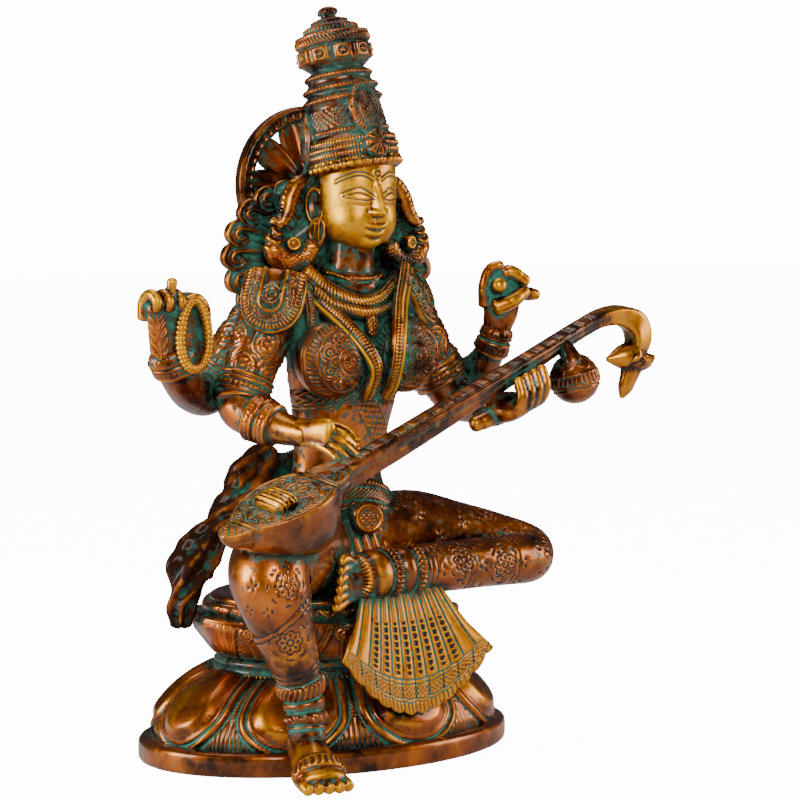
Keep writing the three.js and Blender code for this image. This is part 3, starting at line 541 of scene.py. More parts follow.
def plinth():
    """The plain oval plinth, with edges rounded by quarter circles."""
    a, b, top, r = PLINTH_LENGTH / 2, PLINTH_WIDTH / 2, PLINTH_HEIGHT, 2.2
    profile = [[0.1, 0.1, 0], [a / 2, b / 2, 0], [a - r - 1, b - r - 1, 0]]
    for low, turn in ((r, -np.pi / 2), (top - r, 0)):
        for step in np.linspace(0, np.pi / 2, 5):
            out = r * np.cos(turn + step) - r
            profile.append([a + out, b + out, low + r * np.sin(turn + step)])
    profile += [[a - r - 3, b - r - 3, top + 0.1], [a - 11, b - 9.5, top + 0.6], [a / 2, b / 2, top]]
    body = oval([*profile, [0.1, 0.1, top]], 1.2)
    body.points[..., 2] = np.maximum(body.points[..., 2], 0.01)
    return body.mark(gilt=0.16 * ramp(body.points[..., 2], 1, top))


def petal_places(tier, turn):
    """The share of the way up a tier, half a petal's width, and the way across from its middle."""
    half = tier.girth / PETALS / 2
    return tier.along / tier.along.max(), half, wrap(tier.angle + turn, PETAL_TURN) / PETAL_TURN * 2 * half


def dome():
    """The lower tier. Inside a petal, d is how far a point lies within its edge: the edge is half an
    ellipse at the foot and runs straight up above it. Two rims follow d, and the middle swells."""
    tier = oval(
        [[71, 49, 8.6], [72.6, 50.2, 9.9], [72.9, 50.6, 12.5], [71.6, 49.6, 16], [69, 47.8, 19.6],
         [64.6, 44.6, 24.2], [58.6, 40.4, 28.6], [52.6, 36.6, 31.6], [47.4, 33, 33.6], [44, 30, 34.4]],
        0.62,
    )
    share, half, across = petal_places(tier, -np.radians(10))
    foot = np.clip((0.46 - share) / 0.46, 0, 1)
    d = (1 - np.hypot(across / (0.93 * half), foot**1.3)) * half
    petal = 2.6 * ramp(d, 4.5, 12) + 1.5 * ramp(d, 0, 0.8)
    petal += 0.9 * ridge(d - 2.2, 1.3) + 0.7 * ridge(d - 5.2, 1.1) - 0.6 * ridge(d - 3.7, 0.6)
    petal *= 1 - 0.75 * ramp(share, 0.82, 1)
    gap = half - abs(across)
    fan = 0.5 + 0.5 * wave(gap, 1.9 - 0.9 * share)
    scales = 0.5 + 0.5 * wave(tier.along - 4 + 0.9 * gap, 1.9)
    ground = 0.8 * fan * (share < 0.3) + 0.9 * scales * (share > 0.3)
    ground = ground * (1 - ramp(d, -0.9, -0.3)) + 0.5
    edge = 0.8 * ridge(share - 0.02, 0.03) + 0.5 * ridge(share - 0.93, 0.02)
    groove = ridge(d + 0.4, 0.7) + 0.8 * ridge(d - 3.7, 0.8)
    gilt = 0.42 * ramp(d, 5, 9) * ramp(-across, -4, 6)
    return tier.carve(petal + ground + edge).mark(gilt=gilt, moss=0.5 * groove, ink=0.3 * groove)


def waist_ring():
    """A round ring between the tiers, cut into small upright ribs, with a plain ring over it."""
    low = oval([[43, 29, 33.2], [47, 33, 33.4], [48.6, 34.6, 34.6], [48.9, 34.9, 36.2], [48.2, 34, 37.6],
                [44, 30, 38.2]], 0.42)
    rib = np.cos(low.angle * WAIST_RIBS) * between(low.along, 4, 8.5, 1)
    low.carve(0.6 * rib).mark(gilt=0.9 * ramp(rib, 0, 0.5))
    high = oval([[43, 29, 37], [47.4, 33.4, 37.8], [48.4, 34.4, 39.2], [47.2, 33.2, 40.6],
                 [43, 29, 41.4]], 0.8)
    return [low, high]


def rising_petals(profile, turn, tip, reach):
    """A tier whose petals lean out: the share of the way from a petal's side to its middle bends the
    rim out and up by its sine. Two cut lines follow each petal's edge, a row of small beads its rim,
    and a button sits over a veined leaf in each gap."""
    tier = oval(profile, 0.6)
    share, half, across = petal_places(tier, turn)
    longest = tier.along.max()
    middle = 1 - abs(across) / half
    lean = np.sin(np.pi / 2 * np.clip(share / 0.75, 0, 1)) ** 2 * (1 - ramp(share, 0.86, 1))
    tier.carve(tip * lean * (middle**0.8 - 0.3), (0, 0, 1))
    level = unit(tier.out * np.array([1, 1, 0]))
    gap = half * middle
    edge = gap - 11 * np.clip(0.66 - share, 0, 1)
    side = ramp(share, 0.05, 0.15) * (1 - ramp(share, 0.58, 0.62))
    lines = (ridges(edge, (5.2, 6.4), 0.45) + ridge(edge - 9.4, 0.4)) * side
    ground = (1 - ramp(edge, 2.6, 3.4)) * side
    leaf = (0.35 * wave(tier.along + 1.5 * gap, 1.9) + 0.7 * ridge(gap, 0.6)) * ground
    button = np.hypot(gap, tier.along - 0.54 * longest)
    boss = ramp(3.5 - button, 0, 0.5) * (1.1 - 0.8 * ridge(button - 2.2, 0.5))
    height = 0.8 * ramp(edge, 3.0, 3.8) * side - 0.45 * lines + leaf + boss
    height += 0.9 * ridge(share - 0.68, 0.045) + 0.7 * beads(across, (share - 0.62) * longest, 1.5, 0.7)
    crease = 1.2 * (middle**0.6 - 0.55)
    tier.carve(lean * (reach * (middle - 0.45) + crease) + height, level)
    return tier.mark(ink=0.7 * lines, gilt=0.1)


cup = [[43, 29, 40.6], [47, 33, 41.4], [50.6, 35.6, 44.4], [53.6, 38, 48], [56, 40, 51.6], [57.6, 41.4, 54.4],
       [57.8, 41.6, 56], [56.2, 40.4, 57], [52, 37, 57.2], [46, 32, 57]]
rim_of_cup = [[46, 32, 55], [49, 35, 56], [51, 37, 58], [52.6, 38.4, 60.4], [52.4, 38.2, 62], [50, 36, 62.6],
              [44, 30, 62.4]]
seat = [[40, 28, 61], [47, 33, 61.6], [49.6, 35.4, 63], [50, 35.8, 64.6], [49.2, 35, 65.6], [47, 33, 66],
        [20, 14, 66], [0.1, 0.1, 66]]
build("pedestal_surface", "pedestal", [
    plinth(), dome(), *waist_ring(), rising_petals(cup, -PETAL_TURN / 6, 2.2, 3.0),
    rising_petals(rim_of_cup, 0, 1.2, 1.5), oval(seat, 0.9),
], pedestal_brass, share=0.24)

# %% [markdown]
# ## The torso and its jewels
# Neck, chest, waist and hips are one limb, with rings that widen and narrow up the path. Its jewels
# are lines in the front view: what counts is how far a point lies from a curve and how far along it.
# The breasts are bodies of their own, carved in rings round their tips, and the bead straps are
# ribbons that run over both.

# %% Torso
MIDDLE = 9.5
STRING_LOW, STRING_BEND = 170.6, 0.03
WAIST_LINES = (3.4, -3.4, -5)


def torso():
    """The limb from hips to neck, with choker, collar, bead string, waist lines and girdle. A string
    follows the parabola z = low + bend * (x - MIDDLE)^2, and d is the way from it."""
    body = limb(
        [[4, 2, 60, 30, 24], [4, 1, 80, 31, 23], [5, 0, 96, 26, 18], [5, -1, 112, 20, 13.5],
         [6, -2, 128, 20.5, 14], [7, -3, 146, 24, 16], [8, -4, 165, 28, 16], [8.5, -3, 176, 30, 13.5],
         [9, -3, 184, 21, 12], [9, -4, 190, 12.5, 11], [9, -5, 197, 9.8, 9.8], [9.5, -6, 208, 9.6, 9.6]],
        spacing=0.52, ends=(0.1, 0.1),
    )
    x, y, z = body.points.transpose(2, 0, 1)
    aside, backward = x - MIDDLE, body.out[..., 1]
    front = ramp(-backward, 0.05, 0.3)
    neck = z - 194.2 - 0.28 * (y + 5)
    height = 1.5 * ridge(neck, 2.4) + 0.6 * beads(body.angle * 11, neck, 1.5, 0.75)
    collar = (z - 187.6 - 0.045 * aside**2) / np.sqrt(1 + (0.09 * aside) ** 2)
    height += front * (1.3 * between(collar, -1.9, 1.4, 0.7))
    slope = 2 * STRING_BEND * aside
    d = (z - STRING_LOW - STRING_BEND * aside**2) / np.sqrt(1 + slope**2)
    string = 0.8 * ridge(d, 1.5) + 0.8 * beads(aside * (1 + 0.4 * abs(slope)), d, 1.7, 0.85)
    height += front * ramp(abs(aside), 7, 9) * string
    waist = (z - 146.5) - 0.05 * aside - 1.5 * np.cos(aside / 9)
    zigzag = np.cos(ROUND * x / 3.1 + 2 * np.sin(ROUND * waist / 3.4))
    height += front * 0.45 * zigzag * between(waist, -2.4, 2.4)
    height -= 0.4 * ridges(waist, WAIST_LINES, 0.5)
    sash = (x - 12) * 0.78 + (z - 136) * 0.62
    panel = between(sash, -4, 4, 0.5) * between(z, 126, 147, 1) * front * ramp(x, 2, 6)
    height += panel * (0.9 - 0.7 * lattice(sash, (x - 12) * 0.62 - (z - 136) * 0.78, 3.2, 0.55))
    height -= front * (1.4 * ridge(np.hypot(x - 6, z - 124), 2.2))
    girdle = z - 105 + 0.012 * (x - 5) ** 2
    height += 1.6 * rope(body.turn, girdle - 4.4, 2.4, 1.9) + 1.4 * ribs(body.turn, girdle, 2.2, 2.3)
    height += 1.6 * rope(body.turn, girdle + 4.6, 2.4, 1.9)
    height += ramp(-girdle, 7, 10) * (0.8 + 0.55 * wave(x - 5 + 0.25 * z, 4.6))
    height += 0.35 * ramp(backward, 0.1, 0.4) * between(z, 150, 186, 2) * lattice(x, z, 9, 0.8)
    moss = 0.13 * between(z, 92, 172, 6) * ramp(backward, 0.9, -0.2)
    return body.carve(height).mark(ink=0.5 * ridges(waist, WAIST_LINES, 0.6), moss=moss)


def scales(r, angle, place, count, size):
    """A ring of scales at the distance place from a tip: nested arcs round each scale's foot."""
    x, y = wrap(angle, ROUND / count) * place, r - place
    far = np.hypot(x, y) / size
    return (0.5 - 0.5 * np.cos(5 * np.pi * far)) * ramp(1.0 - far, 0, 0.1) * (y > -0.25 * size)


BREAST_HALFS, BREAST_REACH = [14.5, 15, 14], 14.6


def breast(side):
    """A rounded form whose rings count from its tip: a boss with a flower, two rings of scales, a
    plain ring, and a feathered rim. r is the way from the tip over the surface."""
    middle = [8 + side * 17.5, -19, 160.2 + 0.6 * side]
    body = blob(middle, BREAST_HALFS, turn=(90, -8 * side, 0), spacing=0.38)
    r, angle = (np.pi - body.along) * BREAST_REACH, body.angle
    rings = ((0, 6.2, 1.5), (5.6, 0.6, 0.7), (3.9, 0.4, 0.5), (0, 0.9, 0.6), (14.2, 0.7, 0.7),
             (20.6, 0.8, 0.6), (22.4, 0.5, 0.5))
    height = sum(tall * ridge(r - place, half) ** (0.7 if half > 6 else 1) for place, half, tall in rings)
    height += 0.4 * np.cos(14 * angle) * between(r, 1.5, 3.2, 0.2)
    height += 0.9 * np.maximum(scales(r, angle, 6.8, 8, 3.2), scales(r, angle + 0.39, 9.8, 8, 4.2))
    height += 0.35 * np.cos(44 * angle + 0.9 * r) * between(r, 15.6, 19.4)
    return body.carve(height).mark(ink=0.5 * (ridges(r, (6.6, 13.3), 0.5) + ridges(r, (15.1, 19.9), 0.4)))


def ribbon(path, widths, thick, facing, carving, gilt):
    """A flat limb whose upper side looks along facing: its width lies across both the path and facing.
    carving(along, across) is the relief of its upper side, and gilt(across) its gilding."""
    rows = np.asarray(path, float)
    side = unit(np.cross(facing, rows[-1] - rows[0]))
    stations = [[*place, wide, thick] for place, wide in zip(path, widths)]
    strip = limb(stations, side=side, spacing=0.45, ends=(0.3, 0.3))
    across = max(widths) * np.cos(strip.angle)
    upper = ramp(np.abs(np.sin(strip.angle)), 0.15, 0.5)
    return strip.carve(upper * carving(strip.along + 0 * across, across)).mark(gilt=gilt(across))


def strap(path, side):
    """A ribbed strap from a shoulder between the breasts to the waist: a plain golden edge, a band of
    ribs, and a thin line."""
    def relief(along, across):
        across = -side * across
        band = 0.9 * ribs(along, across - 0.7, 1.35, 1.3)
        return 0.9 * ridge(across + 2.2, 1.1) + band + 0.6 * ridge(across - 2.8, 0.5)
    return ribbon(path, [3.4, 3.5, 3.5, 3.4, 3.3, 3.0, 2.7, 2.0], 1.6, (side * 0.2, -1, 0.25), relief,
                  lambda across: 0.75 * ridge(-side * across + 2.2, 1.6) + 0.3)


def necklace(path, wide):
    """A broad ribbed string that hangs from shoulder to shoulder over the collar."""
    def relief(along, across):
        band = 0.9 * ribs(along + 0.5 * across, across, 1.5, 0.62 * wide)
        return band + 0.8 * ridge(abs(across) - 0.84 * wide, 0.6)
    return ribbon(path, [wide] * len(path), 2.2, (0, -1, 0.35), relief,
                  lambda across: 0.5 * ramp(wide - abs(across), 0.2, 1))


def leaf_relief(x, y):
    """A leaf with a middle vein and slanting side veins."""
    return 0.7 * ridge(x, 0.6) + 0.3 * wave(y + abs(x), 1.6) - 0.4 * ridge(np.hypot(x, y) - 3.4, 0.5)


def clasp_relief(x, y):
    """Two rings round a crosshatched middle."""
    far = np.hypot(x, y)
    rings = 0.9 * ridge(far - 5.4, 1.0) + 0.6 * ridge(far - 3.7, 0.5)
    return rings - 0.6 * lattice(x, y, 2.2, 0.45) * (far < 3.4)


def shield_edge(angle):
    """Below the middle a circle, above it a rounded square."""
    boxed = superellipse(angle, 5)
    return 1 + (boxed - 1) * ramp(np.sin(angle), 0, 0.2) - 0.12 * ramp(np.sin(angle), 0.5, 1)


def shield_relief(x, y):
    """d is how far a point lies within a U, which runs up both sides from a half circle. From the edge
    in come a line, ribs, rosettes and a plain band, and a flower lies in the middle."""
    d = 13 - np.hypot(x, y + 1 - np.clip(y + 1, 0, None))
    along = np.where(y > -1, 13 * np.sign(x) * np.pi / 2 + y * np.sign(x), np.arctan2(x, -y - 1) * 11)
    height = 0.9 * ridge(d - 0.5, 0.6) + 1.0 * ribs(along, d - 2.5, 1.5, 1.2) + 0.7 * ridge(d - 4.2, 0.4)
    height += 0.9 * flower(wrap(along, 3.9), d - 5.9, 1.75, 5) + 1.0 * between(d, 8, 8.8, 0.5)
    return height + 1.1 * flower(x, y - 1.5, 4.1, 5) - 0.4 * ridge(d - 9.9, 0.5)


def epaulette(centre, facing, lean, size):
    """A shoulder plate in the shape of a U."""
    shield = plate(centre, facing, lean, 12.6 * size, 14 * size,
                   lambda x, y: 1.3 * shield_relief(x / size, y / size),
                   thick=5, dome=3.6, edge=shield_edge, spacing=0.42)
    return shield.mark(gilt=0.12)


def shoulder_tassel(side, middle):
    """The small ribbed pendant that hangs beside a shoulder plate."""
    return plate([middle, -15.15 - side * -0.65, 178.5], (side * 0.3, -1, 0.1), (side * 0.1, 0, 1), 3.0, 8.2,
                 lambda x, y: 0.6 * ridge(abs(x) - 2.2, 0.6) + 0.8 * ribs(y, x, 1.3, 1.5),
                 thick=2.5, dome=1.2, spacing=0.4, edge=lambda angle: 0.85 + 0.15 * abs(np.sin(angle)))


build("torso_skin", "figure", [
    torso(), breast(-1), breast(1),
    strap([[-14.6, -9, 191], [-12, -15.2, 183], [-7, -22.6, 175.6], [-3.4, -28.2, 169.7], [0.6, -32, 162.8],
           [3.8, -32, 156.6], [4.4, -28, 149.2], [5.4, -22.6, 144.6]], -1),
    strap([[33.6, -8.4, 195.4], [29, -14, 189.4], [23.2, -20.6, 182.2], [18.2, -27.6, 174.4],
           [15.2, -31.4, 166.6], [14.4, -31.4, 158], [15, -27.2, 150], [15, -22.2, 144.6]], 1),
    necklace([[-14.8, -10.5, 194.2], [-8.8, -13.5, 188.2], [-1.2, -16.4, 183.8], [7, -17.6, 181.7],
              [15.4, -17, 183.1], [22.1, -14, 186.9], [28.4, -9.5, 191.5]], 2.9),
    necklace([[-13, -14, 187], [-8, -17.4, 182], [-1.1, -19.2, 179.3], [10, -20.2, 177.8], [20.5, -18, 180.2],
              [29.8, -11, 187.4]], 2.0),
    plate([9, -22.4, 173.4], (-0.1, -1, 0.1), (0, 0, 1), 3.8, 4.6, leaf_relief, thick=2.5, dome=1.0,
          spacing=0.4, edge=lambda angle: 0.72 + 0.28 * abs(np.sin(angle)) ** 3).mark(gilt=0.4),
    plate([5.5, -24.5, 96], (-0.2, -1, 0.1), (0, 0, 1), 6.6, 6.6, clasp_relief, thick=6, dome=1.2),
], figure_brass, share=0.34)
build("shoulder_plates", "figure", [
    epaulette([-33.5, -15.5, 184], (-0.62, -0.72, 0.28), (0.25, 0.1, 1), 1.0),
    epaulette([40, -10, 183], (0.62, -0.7, 0.3), (-0.35, 0.1, 1), 0.92),
    shoulder_tassel(-1, -15.5), shoulder_tassel(1, 32.5),
], figure_brass)

# %% [markdown]
# ## Arms, hands and legs
# Sleeves, armlets and bangles are relief on the arm itself, told apart by how far along it they lie.
# The engraved flowers of the leggings are cut, not raised, and inked, as the polish that stayed in
# them is nearly black. A hand starts as a palm with bent fingers that only overlap. Remeshing joins
# them under one skin, as wax would.

# %% Arms
def spots(grid, pitch, count, start=0):
    """The way in mm, along and round, from the nearest of count spots in a row. The rows are pitch
    apart, and every other row is turned by half a step."""
    along = grid.along - start
    row = np.round(along / pitch)
    step = ROUND / count
    return along - row * pitch, wrap(grid.angle - (row % 2) * step / 2, step) * grid.girth / ROUND


def sleeve_relief(grid, start, end):
    """Raised flowers in staggered rows, with curls between them."""
    x, y = spots(grid, 11.5, 5, start)
    far, angle = polar(x, y)
    height = 1.0 * flower(x, y, 4.9, 6) + 0.28 * wave(far - 0.5 * angle, 3.1) * ramp(far, 4.6, 5.4)
    return height * between(grid.along, start, end, 0.8)


def bangle(grid, place, half):
    """A raised cuff with ribs between two plain edges."""
    d = grid.along - place
    cuff = 1.2 * between(d, -half, half, 0.5) + 0.6 * ridge(abs(d) - half + 0.6, 0.7)
    return cuff + 0.55 * ribs(grid.turn, d, 1.8, half - 1.4) * (abs(d) < half)


def arm(stations, side, sleeve, armlet, bangles, gilt_from=1e3):
    """An arm with a carved sleeve, an armlet of bead rows, and bangles, gilt from a place on."""
    grid = limb(stations, side=side, spacing=0.55)
    d = grid.along - armlet
    height = sleeve_relief(grid, *sleeve) + 0.9 * between(d, -5, 5, 0.6) + beads(grid.turn, d, 2.0, 0.95)
    height += 0.8 * ridge(abs(d) - 2.2, 0.7) + 0.8 * ridge(abs(d) - 4.4, 0.8)
    height += sum(bangle(grid, place, half) for place, half in bangles)
    return grid.carve(height).mark(gilt=0.36 * ramp(grid.along, gilt_from, gilt_from + 3))


ACROSS_FRONT, ACROSS_REAR = (0, 0.3, 1), (0, 1, 0.2)
build("arm_skin", "figure", [
    arm([[-27, -5, 181, 10.5], [-34, -6, 166, 11], [-41, -7, 151, 10], [-44, -9, 142, 9.4],
         [-40, -18, 137, 8], [-35, -29, 133.6, 6.2], [-31.6, -40, 132.4, 4.8, 5.2]],
        ACROSS_FRONT, (6, 30), 36, [(53, 2.6), (59, 2.4)], 61),
    arm([[-26, 3, 180, 10], [-36, 6, 165, 10.4], [-45, 8, 152, 9.6], [-51, 7, 146.5, 9], [-59, 2, 147.5, 8.4],
         [-67.5, -6, 151, 7.6], [-74, -12, 156.4, 7.4], [-77.2, -14.5, 163, 6, 9]],
        ACROSS_REAR, (6, 30), 36, [(79, 2.2), (84, 2.0)]),
    arm([[35, -5, 181, 10], [40.5, -6, 171, 10], [46.5, -7, 160, 9.8], [54, -8, 147, 9.4],
         [58, -12, 141, 8.8], [58, -22, 139, 7.4], [57, -32, 138.4, 5.8], [56.5, -40, 138, 4.8, 5.4]],
        ACROSS_FRONT, (6, 26), 32, [(72, 2.2), (77, 2.2)], 79),
    arm([[32, 3, 181, 9.5], [41.5, 5, 168, 10], [51, 6, 156, 9.6], [60, 4, 148, 9], [66.5, -2, 148.5, 8.4],
         [69, -10, 153, 7.4], [69.5, -17, 160, 6.2], [70.5, -20.5, 168, 5, 5.6]],
        ACROSS_REAR, (6, 30), 36, [(76, 2.4), (82, 2.4), (87.5, 1.8)]),
], figure_brass)

# %% Hands under one skin
def finger(places, thick):
    """A finger through places, thinner towards its tip, with grooves at its two joints."""
    stations = [[*place, thick * (1 - 0.1 * i)] for i, place in enumerate(places)]
    grid = limb(stations, side=(0.3, 0.7, 0.64), spacing=0.3)
    return grid.carve(-0.22 * ridges(grid.along / grid.along.max(), (0.33, 0.7), 0.5 / grid.along.max()))


def palm(stations, side):
    """The back and ball of a hand, from the wrist to the knuckles."""
    return limb(stations, side=side, spacing=0.4, ends=(0.4, 0.8))


def creases(skin, places, rounds=6):
    """How deep each point lies in a crease, in mm: the mean of its neighbours, less the point itself,
    along its normal, after a few rounds in which neighbours share their means. It counts double."""
    ends = np.empty(2 * len(skin.edges), np.int32)
    skin.edges.foreach_get("vertices", ends)
    one, other = np.concatenate([ends[::2], ends[1::2]]), np.concatenate([ends[1::2], ends[::2]])
    count = np.bincount(ends)[:, None]
    mean = places.astype(float)
    for _ in range(rounds):
        mean = np.stack([np.bincount(one, mean[other, axis]) for axis in range(3)], 1) / count
    return 2 * np.sum((mean - places) * read(skin, "vector", "vertex_normals"), 1)


def joined(name, grids, voxel=0.42, gilt=1.0, smooth=5, node="figure", material=figure_brass):
    """Overlapping bodies under one skin: Remesh keeps the outside of their union, and Smooth rounds
    the seams as wax would run into them. gilt is a number, or a function of a point's place in mm."""
    piece = build(name, node, grids, material, share=1)
    remesh = piece.modifiers.new("one skin", "REMESH")
    remesh.mode, remesh.voxel_size, remesh.use_smooth_shade = "VOXEL", voxel * METRES, True
    soften = piece.modifiers.new("soften", "SMOOTH")
    soften.factor, soften.iterations = 0.5, smooth
    skin = thin_out(piece, 0.42)
    skin.materials.clear()
    skin.materials.append(material)
    places = read(skin) / METRES
    bare = gilt(*places.T) if callable(gilt) else gilt
    for mark, values in (("gilt", bare), ("ink", 0), ("moss", 0), ("hollow", creases(skin, places))):
        write_mark(skin, mark, values)
    skin.shade_smooth()


def right_front_hand():
    """Four long fingers side by side over the strings, and the thumb beside them."""
    knuckles = np.array([[-32.6, -44, 129.6], [-31.6, -46, 131.6], [-30.4, -47, 133.4],
                         [-29.2, -46.6, 135.2]])
    tips = np.array([[-27.4, -59.6, 121], [-24.4, -60.4, 122.6], [-22, -60, 125.6], [-21.4, -58.4, 129]])
    bends = 0.45 * knuckles + 0.55 * tips + [0, -1.2, 1.4]
    fingers = [finger([knuckle + [-1, 5, 0.4], knuckle, bend, tip], 2.3)
               for knuckle, bend, tip in zip(knuckles, bends, tips)]
    thumb = finger([[-28, -41, 135], [-22.6, -45, 135.4], [-19.4, -50, 133.4], [-18.6, -54, 130.4]], 2.4)
    return [*fingers, thumb,
            palm([[-32.6, -36, 133.2, 5.2, 5.4], [-31.6, -41, 133, 4.4, 5.6], [-30, -47, 133, 3.8, 6.4],
                  [-29.2, -51, 132.6, 3, 6.6]], ACROSS_FRONT[::-1])]


def right_rear_hand():
    """The raised hand: a broad flat palm, fingers rolled over at its top, a stem, and the thumb that
    closes the ring round the beads."""
    fingers = [finger([[x, -12.6, 178], [x - 0.3, -13.6, 184.6], [x, -18.6, 187], [x + 0.6, -21.8, 184.4],
                       [x + 0.8, -21, 181.4]], 2.9) for x in (-88.4, -83.2, -78)]
    thumb = finger([[-66.4, -15, 167], [-64.6, -16.4, 176], [-66, -18.6, 182], [-70.4, -20.6, 185.4],
                    [-74, -21, 184.6]], 3.1)
    stem = limb([[-80.8, -19.6, 182, 2.4], [-80.9, -20.2, 187.6, 1.9], [-80.6, -20.6, 192, 2.2]], spacing=0.3)
    return [*fingers, thumb, stem,
            palm([[-76.6, -14, 158, 6.6, 5.4], [-75.6, -15, 163.6, 11, 4.8], [-76.6, -16, 170, 11.6, 4.2],
                  [-77, -16.4, 177.6, 12.2, 4.0], [-78.4, -16.6, 184, 11, 3.8]], (1, 0, 0))]


def left_front_hand():
    """The hand that stops the strings: fingers stand up in front of the neck, the thumb is under it."""
    fingers = [finger([[x - 1.4, -48, z - 2], [x - 0.8, -53.4, z + 0.6], [x - 0.2, -55.4, z + 5.4],
                       [x - 0.8, -53.8, z + 11.8]], 3.3)
               for x, z in ((59 + place * 3.7, 139 + place * 1.5) for place in range(4))]
    return [*fingers, finger([[57, -42, 138], [51, -43, 135], [44.6, -42.6, 133]], 4.0),
            palm([[56.8, -34, 138, 6.4, 6], [57.4, -41, 139, 7.4, 6.2], [60, -47, 140, 8.4, 5.6],
                  [63, -50.4, 141.4, 7.6, 4.4]], (0.9, 0, 0.4))]


def left_rear_hand():
    """The raised left hand, half closed: stout fingers and the heel of the thumb round a bud."""
    fingers = [
        ([[65.6, -20, 180], [64.9, -20.6, 188], [66.6, -22, 194.4], [69.6, -24.6, 196.2]], 3.2),
        ([[68.6, -22, 186.6], [66.8, -28, 188.2]], 3.4),
        ([[69.6, -22, 190.4], [73.4, -25.6, 193.4], [80.4, -27.2, 189.6]], 3.3),
        ([[76, -19, 188], [77.4, -19.6, 194.4]], 2.8),
        ([[66.8, -25.6, 179], [73, -27.6, 181.4], [80, -27, 185.4]], 3.6),
    ]
    heel = blob([74.4, -21.6, 185.6], [7.6, 4.4, 7.6], spacing=0.5)
    bud = limb([[76, -24, 184.6, 2.6], [83.4, -25.4, 184.2, 2.9], [86.8, -26, 183.8, 2.3]], (0, 1, 0), 0.4)
    return [*(finger(*places) for places in fingers), heel, bud,
            palm([[69.8, -19.6, 164, 5.4, 5.2], [70.8, -20.4, 170, 6.2, 5.2], [72.4, -21, 177, 8, 5.2],
                  [73.4, -21.4, 184.6, 8.2, 4.6]], (1, 0, 0.1))]


def ring_of(path, across, radius, columns):
    """A closed loop of rings along a path; across is the direction of angle 0."""
    forward = unit(np.roll(path, -1, 0) - np.roll(path, 1, 0))
    across = unit(np.cross(forward, across))
    angle = full_turn(columns)
    aside, up = across[:, None], np.cross(across, forward)[:, None]
    ring = np.cos(angle)[:, None] * aside + np.sin(angle)[:, None] * up
    return Grid(path[:, None] + radius * ring, loop=True)


def rosary():
    """A closed loop of beads, hung over the right hand: flat balls strung close along an oval."""
    turn = full_turn(620)
    x = 6.4 * np.sin(turn) * (1 - 0.15 * np.cos(turn))
    path = np.stack([-71.8 + x, -21.8 + 0.1 * x, 171.4 + 13.0 * np.cos(turn)], -1)
    ball = np.sqrt(np.clip(1 - (wrap(turn * 42 / ROUND, 1) / 0.56) ** 2, 0, None))[:, None]
    garland = ring_of(path, (-0.3, 1, 0), (1.35 + 0.8 * ball)[..., None], 22)
    garland.height = garland.height + 0.8 * ball
    return garland.mark(gilt=0.75)


def palm_leaf(x, y):
    """The engraved leaf on the outer half of the raised palm."""
    return 0.4 * ridge(x, 0.7) + 0.3 * wave(y - 1.1 * abs(x), 3.6) * ramp(abs(x), 0.5, 1.1)


joined("right_front_hand", right_front_hand(), gilt=lambda x, y, z: 0.34 + 0.2 * ramp(-y, 46, 52))
joined("right_rear_hand", right_rear_hand(), gilt=lambda x, y, z: 0.05 + 0.5 * ramp(z, 181, 184))
joined("left_front_hand", left_front_hand(), gilt=lambda x, y, z: 0.08 + 0.3 * ramp(z - 0.4 * x, 118, 126))
joined("left_rear_hand", left_rear_hand(), gilt=lambda x, y, z: 0.02 + 0.42 * ramp(-y, 26, 28.5))
leaf = plate([-86.2, -19.6, 172.6], (-0.35, -1, 0), (-0.14, 0, 1), 4.4, 10.5, palm_leaf, thick=3, dome=0.7,
             spacing=0.4, edge=lambda angle: 0.75 + 0.25 * abs(np.sin(angle)))
build("rosary", "figure", [rosary(), leaf.mark(gilt=0.35)], figure_brass)

# %% Legs and feet
def engraved_flower(x, y, size):
    """Cut lines: a ring, a scalloped outline whose radius follows the cosine of the angle, and short
    arcs outside it."""
    far, angle = polar(x, y, size)
    scallop = abs(np.cos(4 * angle))
    arcs = ridge(far - 5.7 - 0.6 * scallop, 0.5) * ramp(np.cos(8 * angle), -0.3, 0.3)
    dashes = between(far, 1.9, 3.0, 0.2) * ramp(np.cos(8 * angle), 0.3, 0.7)
    return np.clip(ridge(far - 1.1, 0.5) + ridge(far - 3.3 - 0.9 * scallop, 0.55) + arcs + dashes, 0, 1)


def quatrefoil(x, y, size):
    """Four small cut leaves."""
    far, angle = polar(x, y, size)
    return ridge(far - 1.6, 1.3) ** 0.5 * ramp(np.cos(4 * angle), 0, 0.4)


def flowers_on(grid, places, size, pattern=engraved_flower):
    """Engraved flowers at places in space. A point's way from a flower's middle is measured along two
    directions square to the surface there, so a bend of the limb doesn't pull the flower out of shape."""
    cut = 0
    for place in places:
        offset = grid.points - place
        nearest = np.unravel_index(np.argmin((offset**2).sum(-1)), offset.shape[:2])
        facing = grid.out[nearest]
        aside = unit(np.cross(facing, (0, 0.2, 1)))
        x, y = offset @ aside, offset @ np.cross(facing, aside)
        near = (np.linalg.norm(offset, axis=-1) < 9 * size + 2) * (grid.out @ facing > 0.2)
        cut = np.maximum(cut, pattern(x, y, size) * near)
    return cut


def engrave(leg, flowers, size, sprig_end, lines, crosses=()):
    """A leg's cut lines: flowers, then small crosses and sprigs of three leaves where no flower is,
    and pairs of lines. Each of lines is the way from one pair's middle."""
    cut = flowers_on(leg, flowers, size)
    if crosses:
        cut = np.maximum(cut, flowers_on(leg, crosses, 0.9, quatrefoil) * (cut < 0.05))
    far, angle = polar(*spots(leg, 10.5, 6))
    sprigs = ridge(far - 1.7, 1.2) ** 0.5 * ramp(np.cos(3 * angle), 0.1, 0.5)
    cut = np.maximum(cut, sprigs * between(leg.along, 20, sprig_end) * (cut < 0.05))
    for line in lines:
        cut = np.maximum(cut, ridge(abs(line) - 1.3, 0.5))
    return cut


